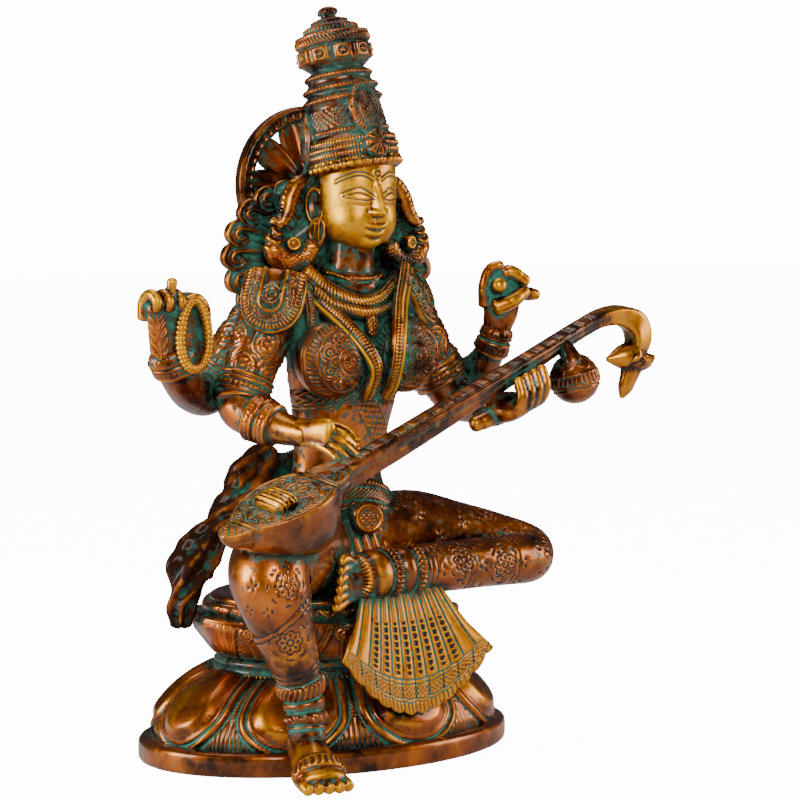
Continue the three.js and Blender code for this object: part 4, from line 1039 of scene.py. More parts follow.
def ribbed_ring(leg, d, half, proud):
    """A swelling ring with ribs along the limb, between two grooves. d is the way from its middle."""
    swell = proud * (1 - np.clip(abs(d) / half, 0, 1) ** 3) - 0.5 * ridge(abs(d) - half - 0.3, 0.5)
    return swell + 0.4 * wave(leg.turn, 1.9) * between(d, -half + 0.9, half - 0.9)


def right_leg():
    """The hanging leg, from the hip over the knee to the heel, with a ribbed and a roped anklet."""
    leg = limb(
        [[-12, -6, 84, 19], [-32, -28, 86, 19], [-51, -48, 85, 17.5], [-61, -60, 81, 15.6],
         [-60.5, -63, 73, 14], [-57, -62.5, 63, 12], [-52, -62, 50, 9.8], [-48.5, -61, 40, 8.2],
         [-46.5, -61, 31, 7], [-46.5, -63, 19, 7, 8]],
        spacing=0.44,
    )
    along = leg.along
    tilt = along + 5.5 * np.cos(leg.angle - 0.6) - 90
    flowers = [(-62.5, -75.5, 80), (-60, -74, 57.6), (-44, -72, 70), (-40, -64, 54), (-68, -50, 74),
               (-30, -44, 104)]
    crosses = [(-71.5, -68, 80), (-68.5, -72, 70.5), (-72, -66, 71), (-54, -77, 71.5), (-66, -71, 62)]
    cut = engrave(leg, flowers, 1.2, 58, (tilt, along - 111 + 0.6 * np.cos(leg.angle)), crosses)
    band, ring = along - 119.5, along - 131.6
    height = 0.25 * ridge(tilt, 1.2) - 0.5 * cut + ribbed_ring(leg, band, 3.6, 1.4)
    height += 0.9 * between(along, 124.6, 127.4, 0.6)
    height += 2.0 * rope(leg.turn, ring, 3.4, 2.8) + 0.7 * ridge(abs(ring) - 3.6, 0.6)
    moss = ridge(abs(ring) - 4.4, 0.6) + ridge(abs(band) - 4, 0.7) + ridge(along - 128.2, 0.7)
    gilt = 0.25 * ramp(along, 92, 104) * ramp(112 - along, 0, 6)
    return leg.carve(height).mark(gilt=gilt, ink=0.85 * cut, moss=0.7 * moss)


def left_leg():
    """The folded leg, from the hip out to the knee and back along the seat to the ankle. near is the
    way still to go to the ankle's end, where ribbed rings alternate with plain ones."""
    leg = limb(
        [[16, -2, 84, 18], [38, -4, 87, 16.5], [56, -9, 84, 14.5], [73, -16, 80.5, 12.5], [83, -24, 77.5, 11],
         [79, -31, 75.6, 10.4], [66, -34, 75.6, 10.2], [50, -35.5, 75.8, 10.1], [36, -37, 75.8, 10.1],
         [22, -38, 76, 9.8], [8, -39.5, 76, 9.4], [-6, -41, 75.4, 9.2]],
        side=(0, 0, 1), spacing=0.55,
    )
    near = leg.along.max() - leg.along
    flowers = [(58.2, -44.5, 75.5), (36.8, -45, 79), (84, -34, 80), (48, -8, 102), (66, -16, 96),
               (30, -12, 102)]
    cut = engrave(leg, flowers, 1.25, leg.along.max() - 36, [near - place for place in (76.5, 53.4, 34.4)])
    height = -0.5 * cut + sum(ribbed_ring(leg, place - near, 2.3, 1.2) for place in (28, 16.2, 2))
    height += 1.0 * ridge(near - 22.2, 3.2) ** 0.6 + 1.0 * ridge(near - 9.2, 4.4) ** 0.6
    return leg.carve(height).mark(gilt=0.3 * ramp(13 - near, 0, 1), ink=0.85 * cut)


def right_foot():
    """The hanging foot: heel, instep with a ribbed strap over it, and five short toes with nails."""
    foot = limb([[-46.5, -61, 17, 7, 8], [-48.5, -72, 9.4, 8.6, 7.4], [-49.5, -79.5, 5.8, 10, 4.8]],
                spacing=0.4)
    d = foot.along - 17
    foot.carve(1.3 * between(d, -2.4, 2.4, 0.8) + 0.6 * wave(foot.turn, 2.1) * between(d, -1.7, 1.7, 0.4))
    toes = []
    for place in range(5):
        x, y = -49.5 + (place - 2) * 4.1, -85.2 + abs(place - 3) * 0.8
        toe = limb([[x * 0.7 - 14.8, y + 9, 5.4, 2.6], [x, y + 4, 5, 2.5], [x, y, 3.7, 2.4]],
                   spacing=0.35, ends=(0.5, 0.6))
        nail = np.hypot(toe.points[..., 0] - x, toe.points[..., 1] - y + 0.6)
        toes.append(toe.carve(-0.4 * ridge(nail - 1.6, 0.45) * (toe.points[..., 2] > 4.6)))
    return [foot, *toes]


def right_foot_gilt(x, y, z):
    """Bare gold on the toes and the strap. way is how far a point lies along the instep."""
    way = -0.14 * (x + 46.5) - 0.84 * (y + 61) - 0.53 * (z - 17)
    return 0.1 + 0.4 * ridge(way - 12.5, 5.5) + 0.4 * ramp(-y, 79, 82)


def left_foot():
    """The folded foot, short and seen from its toes, which lie one above the other."""
    foot = limb([[2, -40, 75.6, 8.4, 7.4], [-8, -41.6, 75, 8.8, 6], [-17, -43, 74.4, 9, 4.2]], (0, 0, 1), 0.5)
    toes = []
    for place in range(6):
        x, z = -18.6 - 0.09 * place**2, 83.4 - place * 3.6
        toes.append(limb([[x + 6, -43, 0.7 * z + 22.4, 2.3], [x, -45, z, 2.3], [x - 2, -46, z - 0.6, 1.9]],
                         (0, 1, 0), 0.35, ends=(0.5, 0.9)))
    return [foot, *toes]


build("leg_skin", "figure", [right_leg(), left_leg()], figure_brass, share=0.4)
joined("right_foot", right_foot(), gilt=right_foot_gilt, smooth=3)
joined("left_foot", left_foot(), gilt=lambda x, y, z: 0.05 + 0.42 * ramp(-x, 16, 18.5), smooth=4)

# %% [markdown]
# ## The head
# The face follows the old proportions that a temple caster learns: eyes half way down, nose and mouth
# on the middle line, brows like a bow, and a calm closed mouth. It belongs to no one. The whole head
# is one grid, and every feature is a hill or a cut that depends on how far a point lies from the
# middle line (u, in mm) and how high it is (v), so left and right come out alike.

# %% Face and skull
FACE_MIDDLE = 10.0


def hill(x, y, half_x, half_y):
    """A rounded hill over an oval foot."""
    return ridge(np.hypot(x / half_x, y / half_y), 1)


def features(u, v):
    """The face's height in mm over the bare skull, and its inked lines."""
    aside = abs(u)
    fall = np.clip((229.5 - v) / 11.5, 0, 1)
    nose = (0.6 + 5.4 * fall**1.2) * ridge(u / (1.9 + 1.5 * fall), 1) ** 0.7
    nose *= ramp(v, 215.9, 217.7) * (1 - ramp(v, 228.5, 232.5))
    wings = 1.7 * hill(aside - 2.8, v - 218.2, 1.8, 1.9)
    du, dv = aside - 7.3, v - 223.8 - 0.1 * (aside - 7.3)
    socket = -1.5 * hill(du, dv - 0.4, 6.6, 4.6)
    almond = 1 - (du / 5.2) ** 2
    ball = 1.9 * hill(du, dv, 6, 3.2) ** 0.6
    lids = (ridge(dv - 2.0 * almond, 0.42) + ridge(dv + 0.95 * almond, 0.42)) * ramp(almond, -0.08, 0.06)
    lids += ridge(dv - 0.7 - 3.1 * (1 - (du / 6.2) ** 2), 0.38) * ramp(5.8 - abs(du), 0, 0.6)
    arch = 229.4 + 3.4 * (1 - ((aside - 7.4) / 7) ** 2)
    brow_part = between(aside, 1.8, 14.2, 0.5)
    brow = 0.5 * ridge(v - arch - 0.6, 1.1) * brow_part
    brow_lines = ridges(v - arch, (-0.25, 1.35), 0.36) * brow_part
    smile = 211.1 + 0.045 * u**2
    upper = 1.8 * ridge(v - 212.5 - 0.02 * u**2 + 0.28 * ridge(u, 0.9), 1.7) * ridge(u, 5.6) ** 0.5
    lower = 1.9 * ridge(v - 209.6 - 0.03 * u**2, 1.9) * ridge(u, 4.7) ** 0.5
    mouth_line = ridge(v - smile, 0.42) * between(aside, 0, 4.5, 0.5)
    far = np.hypot(u, v - 233.6)
    bindi = 0.6 * ridge(far, 1.1) + 0.3 * ridge(far - 1.7, 0.5)
    chin = 1.5 * hill(u, v - 205.6, 6, 4) - 0.5 * hill(u, v - 207.7, 4, 0.9)
    cheeks = 1.2 * hill(aside - 8.5, v - 213.5, 8, 9)
    philtrum = -0.35 * hill(u, v - 215, 0.9, 1.4)
    cut = lids + brow_lines + mouth_line + ridge(far - 1.2, 0.35)
    height = nose + wings + socket + ball + brow + upper + lower + bindi + chin + cheeks + philtrum
    nostril_side = hill(aside - 4.3, v - 218.4, 0.9, 1.8)
    return height - 0.5 * np.clip(cut, 0, 1) - 0.4 * nostril_side, np.clip(cut + 0.5 * nostril_side, 0, 1)


def skull():
    """The head, from the chin to under the crown."""
    head = limb(
        [[10, -11.4, 203.6, 5, 4.6], [10, -11.4, 206.6, 11.2, 9.8], [10, -10.4, 212, 14.3, 13.7],
         [10, -9.2, 219, 15.4, 15.6], [10, -8.4, 228, 16, 16.4], [10, -8, 238, 16, 16]],
        spacing=0.3, ends=(0.7, 0.2),
    )
    x, y, z = head.points.transpose(2, 0, 1)
    front = ramp(-head.out[..., 1], 0.08, 0.5)
    height, cut = features(x - FACE_MIDDLE, z)
    head.carve(height * front, unit(head.out * [0.55, 1, 0.45]))
    gilt = 0.78 * ramp(-y, -2, 6) * (1 - 0.5 * cut)
    return head.mark(gilt=gilt, ink=0.55 * cut * front, moss=0.6 * cut * front)


def lobe_relief(x, y):
    """A rolled rim round the ear's hollow."""
    return 1.5 * ridge(np.hypot(x / 4.4, y / 9) * 4.4 - 3.5, 1.0) - 1.2 * hill(x, y - 1, 3.4, 7)


def loop_relief(x, y):
    """A rim round two upright bars."""
    rim = 0.9 * ridge(np.hypot(x / 3.8, y / 6) * 3.8 - 3.2, 0.7)
    return rim + 0.9 * ridge(abs(x) - 0.95, 0.6) * between(y, -3.6, 3.6)


def ear(side):
    """A long-lobed ear, and a loop with two bars hung through its lobe."""
    facing = (side * 0.8, -0.75, 0.05)
    shell = plate([FACE_MIDDLE + side * 16.2, -3.4, 220.5], facing, (0, 0.1, 1), 4.4, 9, lobe_relief,
                  thick=4, dome=0.8, spacing=0.4)
    drop = plate([FACE_MIDDLE + side * 16.4, -5.2, 210.6], facing, (side * -0.1, 0, 1), 3.8, 6, loop_relief,
                 thick=3, dome=0.5, spacing=0.4, edge=lambda angle: 1 + 0.12 * np.sin(angle) ** 2)
    return [shell.mark(gilt=0.55), drop.mark(gilt=0.45)]


build("face_skin", "figure", [skull(), *ear(-1), *ear(1)], figure_brass, share=0.6)

# %% [markdown]
# ## Hair and ear ornaments
# The hair fans out behind the ears in flat locks that roll up at their ends. A lock is a limb with
# grooves that run along it, so their height depends on the angle alone. Under them lies one soft body,
# which fills the gaps. A beast with a curled trunk and tail hangs in front of each ear.

# %% Locks, back hair and ornaments
LOCKS = 7
HAIR_MIDDLE = np.array([5, 0, 198])


def lock(side, place):
    """One lock: out from behind the ear, then rolled back at its end, with three strands. Each of its
    stations is a way out, a way aside, a depth and a radius."""
    share = place / (LOCKS - 1)
    angle = (0.92 if side < 0 else 0.8) - 1.3 * share
    out = np.array([side * np.cos(angle), 0, np.sin(angle)])
    across = np.array([side * np.sin(angle), 0, -np.cos(angle)])
    reach = 32 + 10 * np.sin(2.5 * share)
    stations = [
        (8, 0, 8, 3.6), (reach * 0.55, -1.5, 7.4, 4.2), (reach * 0.86, -3.4, 6.4, 3.8),
        (reach + 3.2, -2.4, 5.6, 3.2), (reach + 4.6, 1.8, 5, 2.7), (reach + 1.6, 3.8, 4.2, 2.2),
        (reach - 0.8, 1.6, 3.6, 1.6),
    ]
    rows = [[*(HAIR_MIDDLE + (0, deep, 0) + far * out + 0.8 * aside * across), 0.96 * radius, 1.06 * radius]
            for far, aside, deep, radius in stations]
    grid = limb(rows, side=(0, 1, 0), spacing=0.5)
    return grid.carve(0.65 * np.cos(5 * grid.angle + 0.1 * grid.along)).mark(gilt=0.12)


def back_hair():
    """The body of the hair behind the neck, in wavy strands."""
    hair = limb([[9, 5, 236, 14, 10], [9, 6, 216, 19, 11], [8, 8, 200, 29, 8], [8, 12, 184, 25, 6],
                 [8, 13.5, 172, 12, 4]], spacing=0.75)
    swayed = hair.points[..., 0] + 1.4 * np.sin(hair.points[..., 2] / 5)
    return hair.carve(0.55 * wave(swayed, 4.6) * ramp(hair.out[..., 1], -0.3, 0.3))


def stud_relief(x, y):
    """A ring round a small boss."""
    far = np.hypot(x, y)
    return 0.9 * ridge(far - 2.2, 0.6) + 0.9 * ridge(far, 0.9)


def ear_beast(side):
    """Trunk above, tail and body below, and a stud: golden, with grains of beads on the body."""
    def part(rows):
        return limb([[FACE_MIDDLE + side * x, *rest] for x, *rest in rows], side=(0, 1, 0), spacing=0.45)
    trunk = part([[17, -2, 231.5, 2.4], [23, -1.4, 229.6, 3.1], [27, -1.4, 224, 3.5], [29, -2, 218, 3.4],
                  [32.4, -2.6, 213.8, 2.6], [35.4, -2.2, 214.6, 1.6]])
    trunk.carve(0.16 * np.cos(3.1 * trunk.along) * ramp(np.sin(3 * trunk.angle), -0.5, 0.5))
    body = part([[32.6, -2.4, 213.4, 1.9], [35, -2, 207.6, 3.2], [34, -1.6, 202, 4.4],
                 [28.6, -1.4, 198.6, 4.9], [22.4, -2.4, 199.4, 4.4], [18.4, -4, 204.4, 3.6]])
    grains = 0.4 * ridge(np.hypot(*spots(body, 1.7, 16)), 0.8) * ramp(body.along, 10, 13)
    scaled = 0.5 * wave(body.along - 0.8 * np.cos(2 * body.angle), 3.4) * (1 - ramp(body.along, 8, 12))
    body.carve(grains + scaled)
    stud = plate([FACE_MIDDLE + side * 28, -6.4, 205.6], (side * 0.35, -1, 0), (0, 0, 1), 2.9, 2.9,
                 stud_relief, thick=4, spacing=0.35)
    return [trunk.mark(gilt=0.3), body.mark(gilt=0.28), stud.mark(gilt=0.5)]


build("hair", "figure", [
    back_hair(), *ear_beast(-1), *ear_beast(1),
    *[lock(side, place) for side in (-1, 1) for place in range(LOCKS)],
], figure_brass)

# %% [markdown]
# ## The crown
# A crown like this is turned in wax before it is carved, so it starts as a profile that goes round an
# axis. The axis leans back a little. Each ring of jewels is then a function of height and of the way
# round, and the leaves and the rosette are plates laid on it.

# %% Tiers, leaves and rosette
CROWN_FOOT = np.array([10, -7, 234.6])
CROWN_UP = unit(np.array([-6, 11, 64.6]))
CROWN_SIDE = unit(np.cross((0, 1, 0), CROWN_UP))
CROWN_AXES = np.stack([CROWN_SIDE, np.cross(CROWN_UP, CROWN_SIDE), CROWN_UP])
CROWN_FRONT = -np.pi / 2
CREST, SIDE_LEAF, ROSETTE = (7.6, 12.6), (6.4, 10.6), (5.6, 5.8)


def on_crown(points):
    """Points of the crown's own frame, turned by its lean and set on the head."""
    return np.asarray(points, float) @ CROWN_AXES + CROWN_FOOT


def lathe(profile, spacing, smooth=3):
    """A profile of [radius, height] turned round Z: the profile is walked in even steps, and its
    corners are softened by running means."""
    rows = np.asarray(profile, float)
    way = np.concatenate([[0], np.cumsum(np.linalg.norm(np.diff(rows, axis=0), axis=1))])
    even = np.linspace(0, way[-1], int(way[-1] / spacing))
    rows = np.stack([np.interp(even, way, column) for column in rows.T], 1)
    for _ in range(smooth):
        rows[1:-1] = (rows[:-2] + 2 * rows[1:-1] + rows[2:]) / 4
    radius, z = rows[:, :1], rows[:, 1:]
    angle = full_turn(int(ROUND * radius.max() / spacing))
    ring = np.stack([radius * np.cos(angle), radius * np.sin(angle), z + 0 * angle], -1)
    return Grid(ring, z + 0 * angle, angle + 0 * z)


def crown_tiers():
    """Fringe, three ribbed bands, a lattice panel, three roped rings, a block of ringed panels under a
    ribbed roll, two small tiers and a knob."""
    tiers = lathe(
        [[15, -1], [18, -1], [19.2, 0.4], [19.2, 3], [18.2, 4.2], [18.8, 8], [17.8, 12.4], [16.4, 14],
         [14.6, 26], [15.4, 27.2], [15.4, 30], [14, 31], [14, 31.8], [14.6, 32.2], [14.4, 34.4],
         [12.9, 35.6], [12.9, 37.2], [13, 39.6], [10.6, 41], [13, 43], [14.4, 44.2], [14.6, 49.6],
         [13.6, 50.3], [14.9, 51.2], [15.2, 53],
         [14.6, 55], [13.4, 55.9], [11, 56.5], [10.9, 58.8], [9.6, 59.4], [7.4, 59.9], [7.2, 61.4], [5, 62.2],
         [2.8, 62.9], [4, 64.2], [3.9, 65.6], [2.4, 67], [0.3, 67.4]],
        0.42, smooth=2,
    )
    z, turn = tiers.along, tiers.angle
    front = ramp(-np.sin(turn), -0.6, 0)
    lobe = wrap(turn * 19, 3.4)
    height = ridge(np.hypot(lobe, 1.1 * (z - 1.4)), 2.0) ** 0.6 + 0.7 * ribs(turn * 19, z - 3.5, 1.3, 0.7)
    height += sum(0.9 * ribs(turn * 18.4, z - place, 1.28, 1.15) for place in (5.8, 8.5, 11.2))
    height += 0.5 * lattice(turn * 15, z - 20, 2.6, 0.5) * between(z, 17.4, 24.6)
    height += 0.8 * ribs(turn * 16, z - 15.4, 1.4, 1.0)
    for place, girth in ((28.6, 15.4), (33.3, 14.5), (38.4, 13)):
        height += 1.1 * rope(turn * girth, z - place, ROUND * girth / 56, 1.2)
    panel = wrap(turn, ROUND / 10) * 14.6
    ring = np.hypot(panel, z - 47)
    height += (between(abs(panel), 0, 3.1, 0.5) - 0.9 * ridge(ring - 1.4, 0.6)) * between(z, 44.8, 49.4, 0.5)
    height += 0.6 * ridge(ring, 0.8) + 0.5 * wave(turn * 15 + 0.5 * z, 1.57) * between(z, 51.8, 54.2)
    height += 0.7 * ridge(z - 55, 0.6)
    for count, tall, low, high in ((44, 0.5, 56.9, 58.4), (28, 0.4, 60, 61.2), (8, 0.4, 64, 66)):
        height += tall * np.cos(count * turn) * between(z, low, high)
    tiers.carve(height)
    tiers.points = on_crown(tiers.points)
    return tiers.mark(gilt=0.3 * front * (1 - ramp(z, 3, 5)) + 0.2 * front * (1 - ramp(z, 12, 14)))


def crown_leaf(angle, z, half_width, half_height, relief):
    """An upright almond leaf on the crown's wall, at an angle round it."""
    out = np.array([np.cos(angle), np.sin(angle), 0])
    centre = on_crown((19.2 - 0.12 * z) * out + [0, 0, z])
    facing, up = (np.asarray(way) @ CROWN_AXES for way in (out + [0, 0, 0.16], (0, 0, 1)))
    return plate(centre, facing, up, half_width, half_height, relief, thick=3.5, dome=1.6, spacing=0.4,
                 edge=lambda turn: 1 - 0.2 * abs(np.sin(2 * turn)) * ramp(np.sin(turn), -0.9, 0.8))


def crest_relief(x, y):
    """A ribbed rim, a groove, and a crosshatched almond in the middle."""
    rim = (1 - np.hypot(x / CREST[0], y / CREST[1])) * CREST[0]
    almond = np.hypot(x / 3.8, (y + 1.6) / 7)
    height = 0.9 * ribs(np.arctan2(y, x) * 9, rim - 1.4, 1.3, 1.2) + 0.9 * ridge(almond - 1, 0.14)
    return height + (0.9 - 0.6 * lattice(x, y, 1.9, 0.42)) * ramp(0.92 - almond, 0, 0.1)


def side_leaf_relief(x, y):
    """A plain rim round slanting feathers."""
    rim = (1 - np.hypot(x / SIDE_LEAF[0], y / SIDE_LEAF[1])) * SIDE_LEAF[0]
    return 0.9 * ridge(rim - 0.9, 0.8) + 0.5 * wave(y - 0.8 * abs(x), 2.0) * ramp(rim, 1.8, 2.4)


def rosette_relief(x, y):
    """Eight rounded petals round a boss."""
    far, angle = polar(x, y)
    return 1.3 * ramp(np.cos(8 * angle), -1, -0.2) * ramp(ROSETTE[1] - far, 0, 0.8) + 0.5 * ridge(far, 1.2)


build("crown", "figure", [
    crown_tiers(),
    plate(on_crown([0, -20.2, 8]), np.array([0, -1, 0.1]) @ CROWN_AXES, CROWN_UP, *ROSETTE, rosette_relief,
          thick=4, dome=1.4, spacing=0.35),
    crown_leaf(CROWN_FRONT, 23.4, *CREST, crest_relief),
    crown_leaf(CROWN_FRONT - 1.9, 15, 7.4, 11.6, side_leaf_relief),
    crown_leaf(CROWN_FRONT + 1.9, 15, 7.4, 11.6, side_leaf_relief),
    crown_leaf(CROWN_FRONT + np.pi, 17, *SIDE_LEAF, side_leaf_relief),
], figure_brass, share=0.5)

# %% [markdown]
# ## Cast cloth
# The pleated fan over the seat's edge is one closed sheet: across it goes one parameter, down it the
# other, and its pleats are a cosine across. Its woven border is drawn by how far down a point lies.
# The sash beside her is two folded limbs, whose folds run along them.

# %% Fan and sash
PLEATS = 11
FAN_ROWS, FAN_DOWN = 330, 130
FAN_X, FAN_Y, FAN_TOP = 8.5, -42.5, 72
FAN_WIDTH, FAN_SPREAD = 34, 36
FAN_DROP, FAN_CURVE = 49, 96
BORDER_LINES = (12.2, 10.4, 5.0, 3.8)


def fan_sheet():
    """Point (u, t): u from -1/2 to 1/2 across, t from 0 to 1 down. The sheet spreads as t^0.85, bows
    out by a sine, and its foot curves up towards the sides by u^2."""
    u = np.linspace(-0.5, 0.5, FAN_ROWS)[:, None]
    fall = np.linspace(0, 1, FAN_DOWN)
    t = np.concatenate([fall, fall[::-1]])[None]
    front = (np.arange(2 * FAN_DOWN) < FAN_DOWN)[None] * 1.0
    pleat = u * PLEATS
    reach = FAN_WIDTH + FAN_SPREAD * t**0.85
    scallop = 1.8 * abs(np.sin(np.pi * pleat)) ** 0.6 * t**8
    drop = (FAN_DROP - FAN_CURVE * u**2 * t + scallop) * t
    bow = 1.1 * np.sin(7 * u + 0.6) * t
    lift = front * (-1.2 + 0.35 * abs(np.cos(np.pi * pleat)) ** 4 + bow) + (1 - front) * (1.4 + bow)
    y = FAN_Y - 13 * np.sin(1.4 * t) + lift - 3 * u**2 * t
    sheet = Grid(np.stack([FAN_X + u * reach, y, FAN_TOP - drop], -1))
    below, along, pitch = (1 - t) * 50, u * reach, reach / PLEATS
    fold, groove = wrap(pleat, 1) * pitch, wrap(pleat + 0.5, 1) * pitch
    lines = ridge(fold, 0.6) * ramp(below, 12.4, 13) + 0.8 * ridge(groove, 0.35) * ramp(below, 35, 36)
    pits = beads(below, groove, 2.9, 1.25) * between(below, 15, 34, 1.5) * ramp(0.38 - abs(u), 0, 0.02)
    bars = ridge(wrap(along, 6.6), 0.55) * between(below, 4.8, 12)
    cuts = ridges(below, BORDER_LINES, 0.5) + bars
    hatch = (0.5 - 0.5 * wave(along + below, 1.9)) * (0.5 - 0.5 * wave(along - below, 1.9))
    strokes = ridge(wrap(along + 0.2 * below, 1.9), 0.55) * between(below, 0.2, 3.3, 0.3)
    fine = np.clip(strokes + 0.8 * (1 - hatch) ** 4 * between(below, 5.6, 9.4, 0.4), 0, 1)
    sheet.carve(-(0.45 * lines + 0.5 * pits + 0.4 * cuts + 0.3 * fine) * front, (0, -1, 0.2))
    return sheet.mark(gilt=0.62 * front, ink=(0.42 * lines + 0.9 * pits + 0.35 * cuts + 0.6 * fine) * front,
                      moss=1.2 * np.clip(lines + cuts + 0.5 * fine, 0, 1) * front)


def folded(stations, side, tilt):
    """A bunch of cloth: a few broad folds along it, whose place across sways with the way along."""
    grid = limb(stations, side=side, spacing=0.5)
    across, along = np.cos(grid.angle), grid.along
    folds = wave(1.05 * across + tilt * along + 0.2 * np.sin(along / 5.5), 1)
    return grid.carve(0.8 * folds + 0.3 * np.cos(ROUND * along / 8.3 + 3 * across))


build("fan_cloth", "figure", [fan_sheet()], fan_brass)
build("sash", "figure", [
    folded([[-21, 9, 122.6, 4, 2.4], [-26.4, 9, 115.8, 9.2, 2.6], [-30, 9, 109.6, 11, 2.6],
            [-35, 8, 103.5, 9, 2.6], [-42.6, 6, 97.3, 7.2, 2.6], [-49.4, 4, 92, 6.4, 2.6],
            [-55, 3, 86.1, 9, 2.5], [-61.5, 2, 77.1, 8.8, 2.4], [-63, 2, 69.3, 6.8, 2.4],
            [-65.2, 2, 62.3, 5.4, 2.2], [-65.4, 2, 55.8, 4.0, 1.8]],
           (0.84, -0.54, 0), 0.035),
    folded([[-4, 9, 112, 10, 3.4], [-20, 10, 110.5, 10, 3.4], [-33, 9.5, 106, 7.4, 2.6]], (0, 0, 1), 0.02),
], sash_brass)

# %% [markdown]
# ## The veena
# A long lute: a hollowed bowl under a carved board, a straight neck with frets, a gourd near its end,
# and a neck that bends over into a beast's head. It is modelled in its own frame, with X from the
# bowl's tip along the strings and Z up from the board, and then turned into her lap.

# %% Bowl, neck, gourd and head
VEENA_TIP = np.array([-88.3, -72.3, 99.3])
VEENA_ALONG = unit(np.array([0.921, 0.157, 0.354]))
LEVEL = unit(np.cross((0, 0, 1), VEENA_ALONG))
UPRIGHT = np.cross(VEENA_ALONG, LEVEL)
TILT = np.radians(11)
VEENA_NORMAL = UPRIGHT * np.cos(TILT) + np.cross(VEENA_ALONG, UPRIGHT) * np.sin(TILT)
VEENA_AXES = np.stack([VEENA_ALONG, np.cross(VEENA_NORMAL, VEENA_ALONG), VEENA_NORMAL])
BOWL_END = 66
ROSETTE_PLACE = 41.4
FRET_PITCH = 6.85
BOWL_COLUMNS = 230
NECK_HALF, NECK_DEEP, NECK_TOP = 4.2, 5.3, 1.4
GOURD_RADIUS = 10.3
BOWL_STATIONS = np.array([
    [0, 1.2, 1.6], [2.4, 4.6, 5.2], [8.4, 6.8, 8.8], [9.6, 6.5, 9.8], [11, 7.7, 11], [15.5, 10.9, 14.2],
    [22, 14.3, 19], [31, 16.4, 23.4], [38, 16.2, 25.2], [44, 14.6, 25.6], [48.4, 12, 24.2], [51, 9.7, 20.5],
    [52.6, 9.2, 15], [53.6, 9, 10.4], [58, 8.3, 8.6], [BOWL_END, 5.0, 7.2]])


def in_lap(grid):
    """Turns a grid of the veena's own frame into her lap."""
    grid.points = grid.points @ VEENA_AXES + VEENA_TIP
    grid.out = grid.out @ VEENA_AXES
    return grid


def board_relief(x, y, wide):
    """Cut lines from 0 to 1. Scrolls follow where a sum of two bent cosines has one value. Rings lie
    behind the bridge, crossed lines on the tip piece, and nested arcs on the joint."""
    rim = wide - abs(y)
    far, angle = polar(x - ROSETTE_PLACE, y)
    rosette = ramp(7.4 - far, 0, 0.4)
    swirl = np.cos(1.25 * x + 1.7 * np.sin(y)) + np.cos(1.15 * y + 1.8 * np.sin(0.9 * x + 1))
    scrolls = ridge(swirl - 0.3, 0.75) ** 0.7 * between(x, 12.5, 48, 0.3) * ramp(rim, 2.4, 2.8)
    rings = ridge(wrap(far - 0.4, 2.3), 0.4) + ridge(wrap(angle * 3, 2.1), 0.4) * between(far, 2.8, 5)
    cut = scrolls * (1 - rosette) + rings * rosette
    cut += lattice(x, y, 3.4, 0.35) * between(x, 1.5, 8.2) * ramp(rim, 1, 1.4)
    cut += ridge(wrap(np.hypot(x - 50.6, 1.15 * y), 2.1), 0.35) * between(x, 52.6, 63)
    cut += ridge(rim - 1.9, 0.35) * between(x, 10, 48.5)
    return np.clip(cut + ridges(x, (8.8, 11.4, 48.9, 51.6), 0.4), 0, 1)


def veena_bowl():
    """Rows whose half width and depth come from a spline through the stations. Above, a ring is the
    flat board, below it a superellipse: the sine of its angle, raised to a power, gives the depth."""
    steps, _ = even_rows(np.column_stack([BOWL_STATIONS, BOWL_STATIONS[:, :1]]), 0.46)
    x, wide, deep = np.maximum.accumulate(steps[:, :1]), steps[:, 1:2], steps[:, 2:3]
    angle = full_turn(BOWL_COLUMNS)
    down = -np.sin(angle)
    z = np.where(down > 0, -deep * np.abs(down) ** 0.7, 0.9 * np.minimum(1, 6 * np.abs(down)))
    y = wide * np.cos(angle)
    bowl = Grid(np.stack([x + 0 * angle, y, z], -1))
    top = ramp(-down, 0.02, 0.14)
    cut = board_relief(x, y, wide) * top
    bowl.carve(0.4 * top * ridges(x, (10.1, 50.2), 1.2) - 0.45 * cut, (0, 0, 1))
    line = ridge(bowl.points[..., 2] + 2.0, 0.45) * (down > 0)
    flat = 0.12 * top + 0.2 * ramp(z, -2, 0)
    return in_lap(bowl.carve(-0.35 * line)).mark(gilt=flat * (1 - cut), ink=0.35 * line, moss=cut)


def boxed(stations, spacing, power, columns):
    """A limb whose ring is a rounded box: a superellipse in place of each oval."""
    grid = limb(stations, side=(0, 1, 0), spacing=spacing, ends=(0.2, 0.4), columns=columns)
    middle = grid.points.mean(1, keepdims=True)
    grid.points = middle + (grid.points - middle) * superellipse(grid.angle, power)[..., None]
    return grid


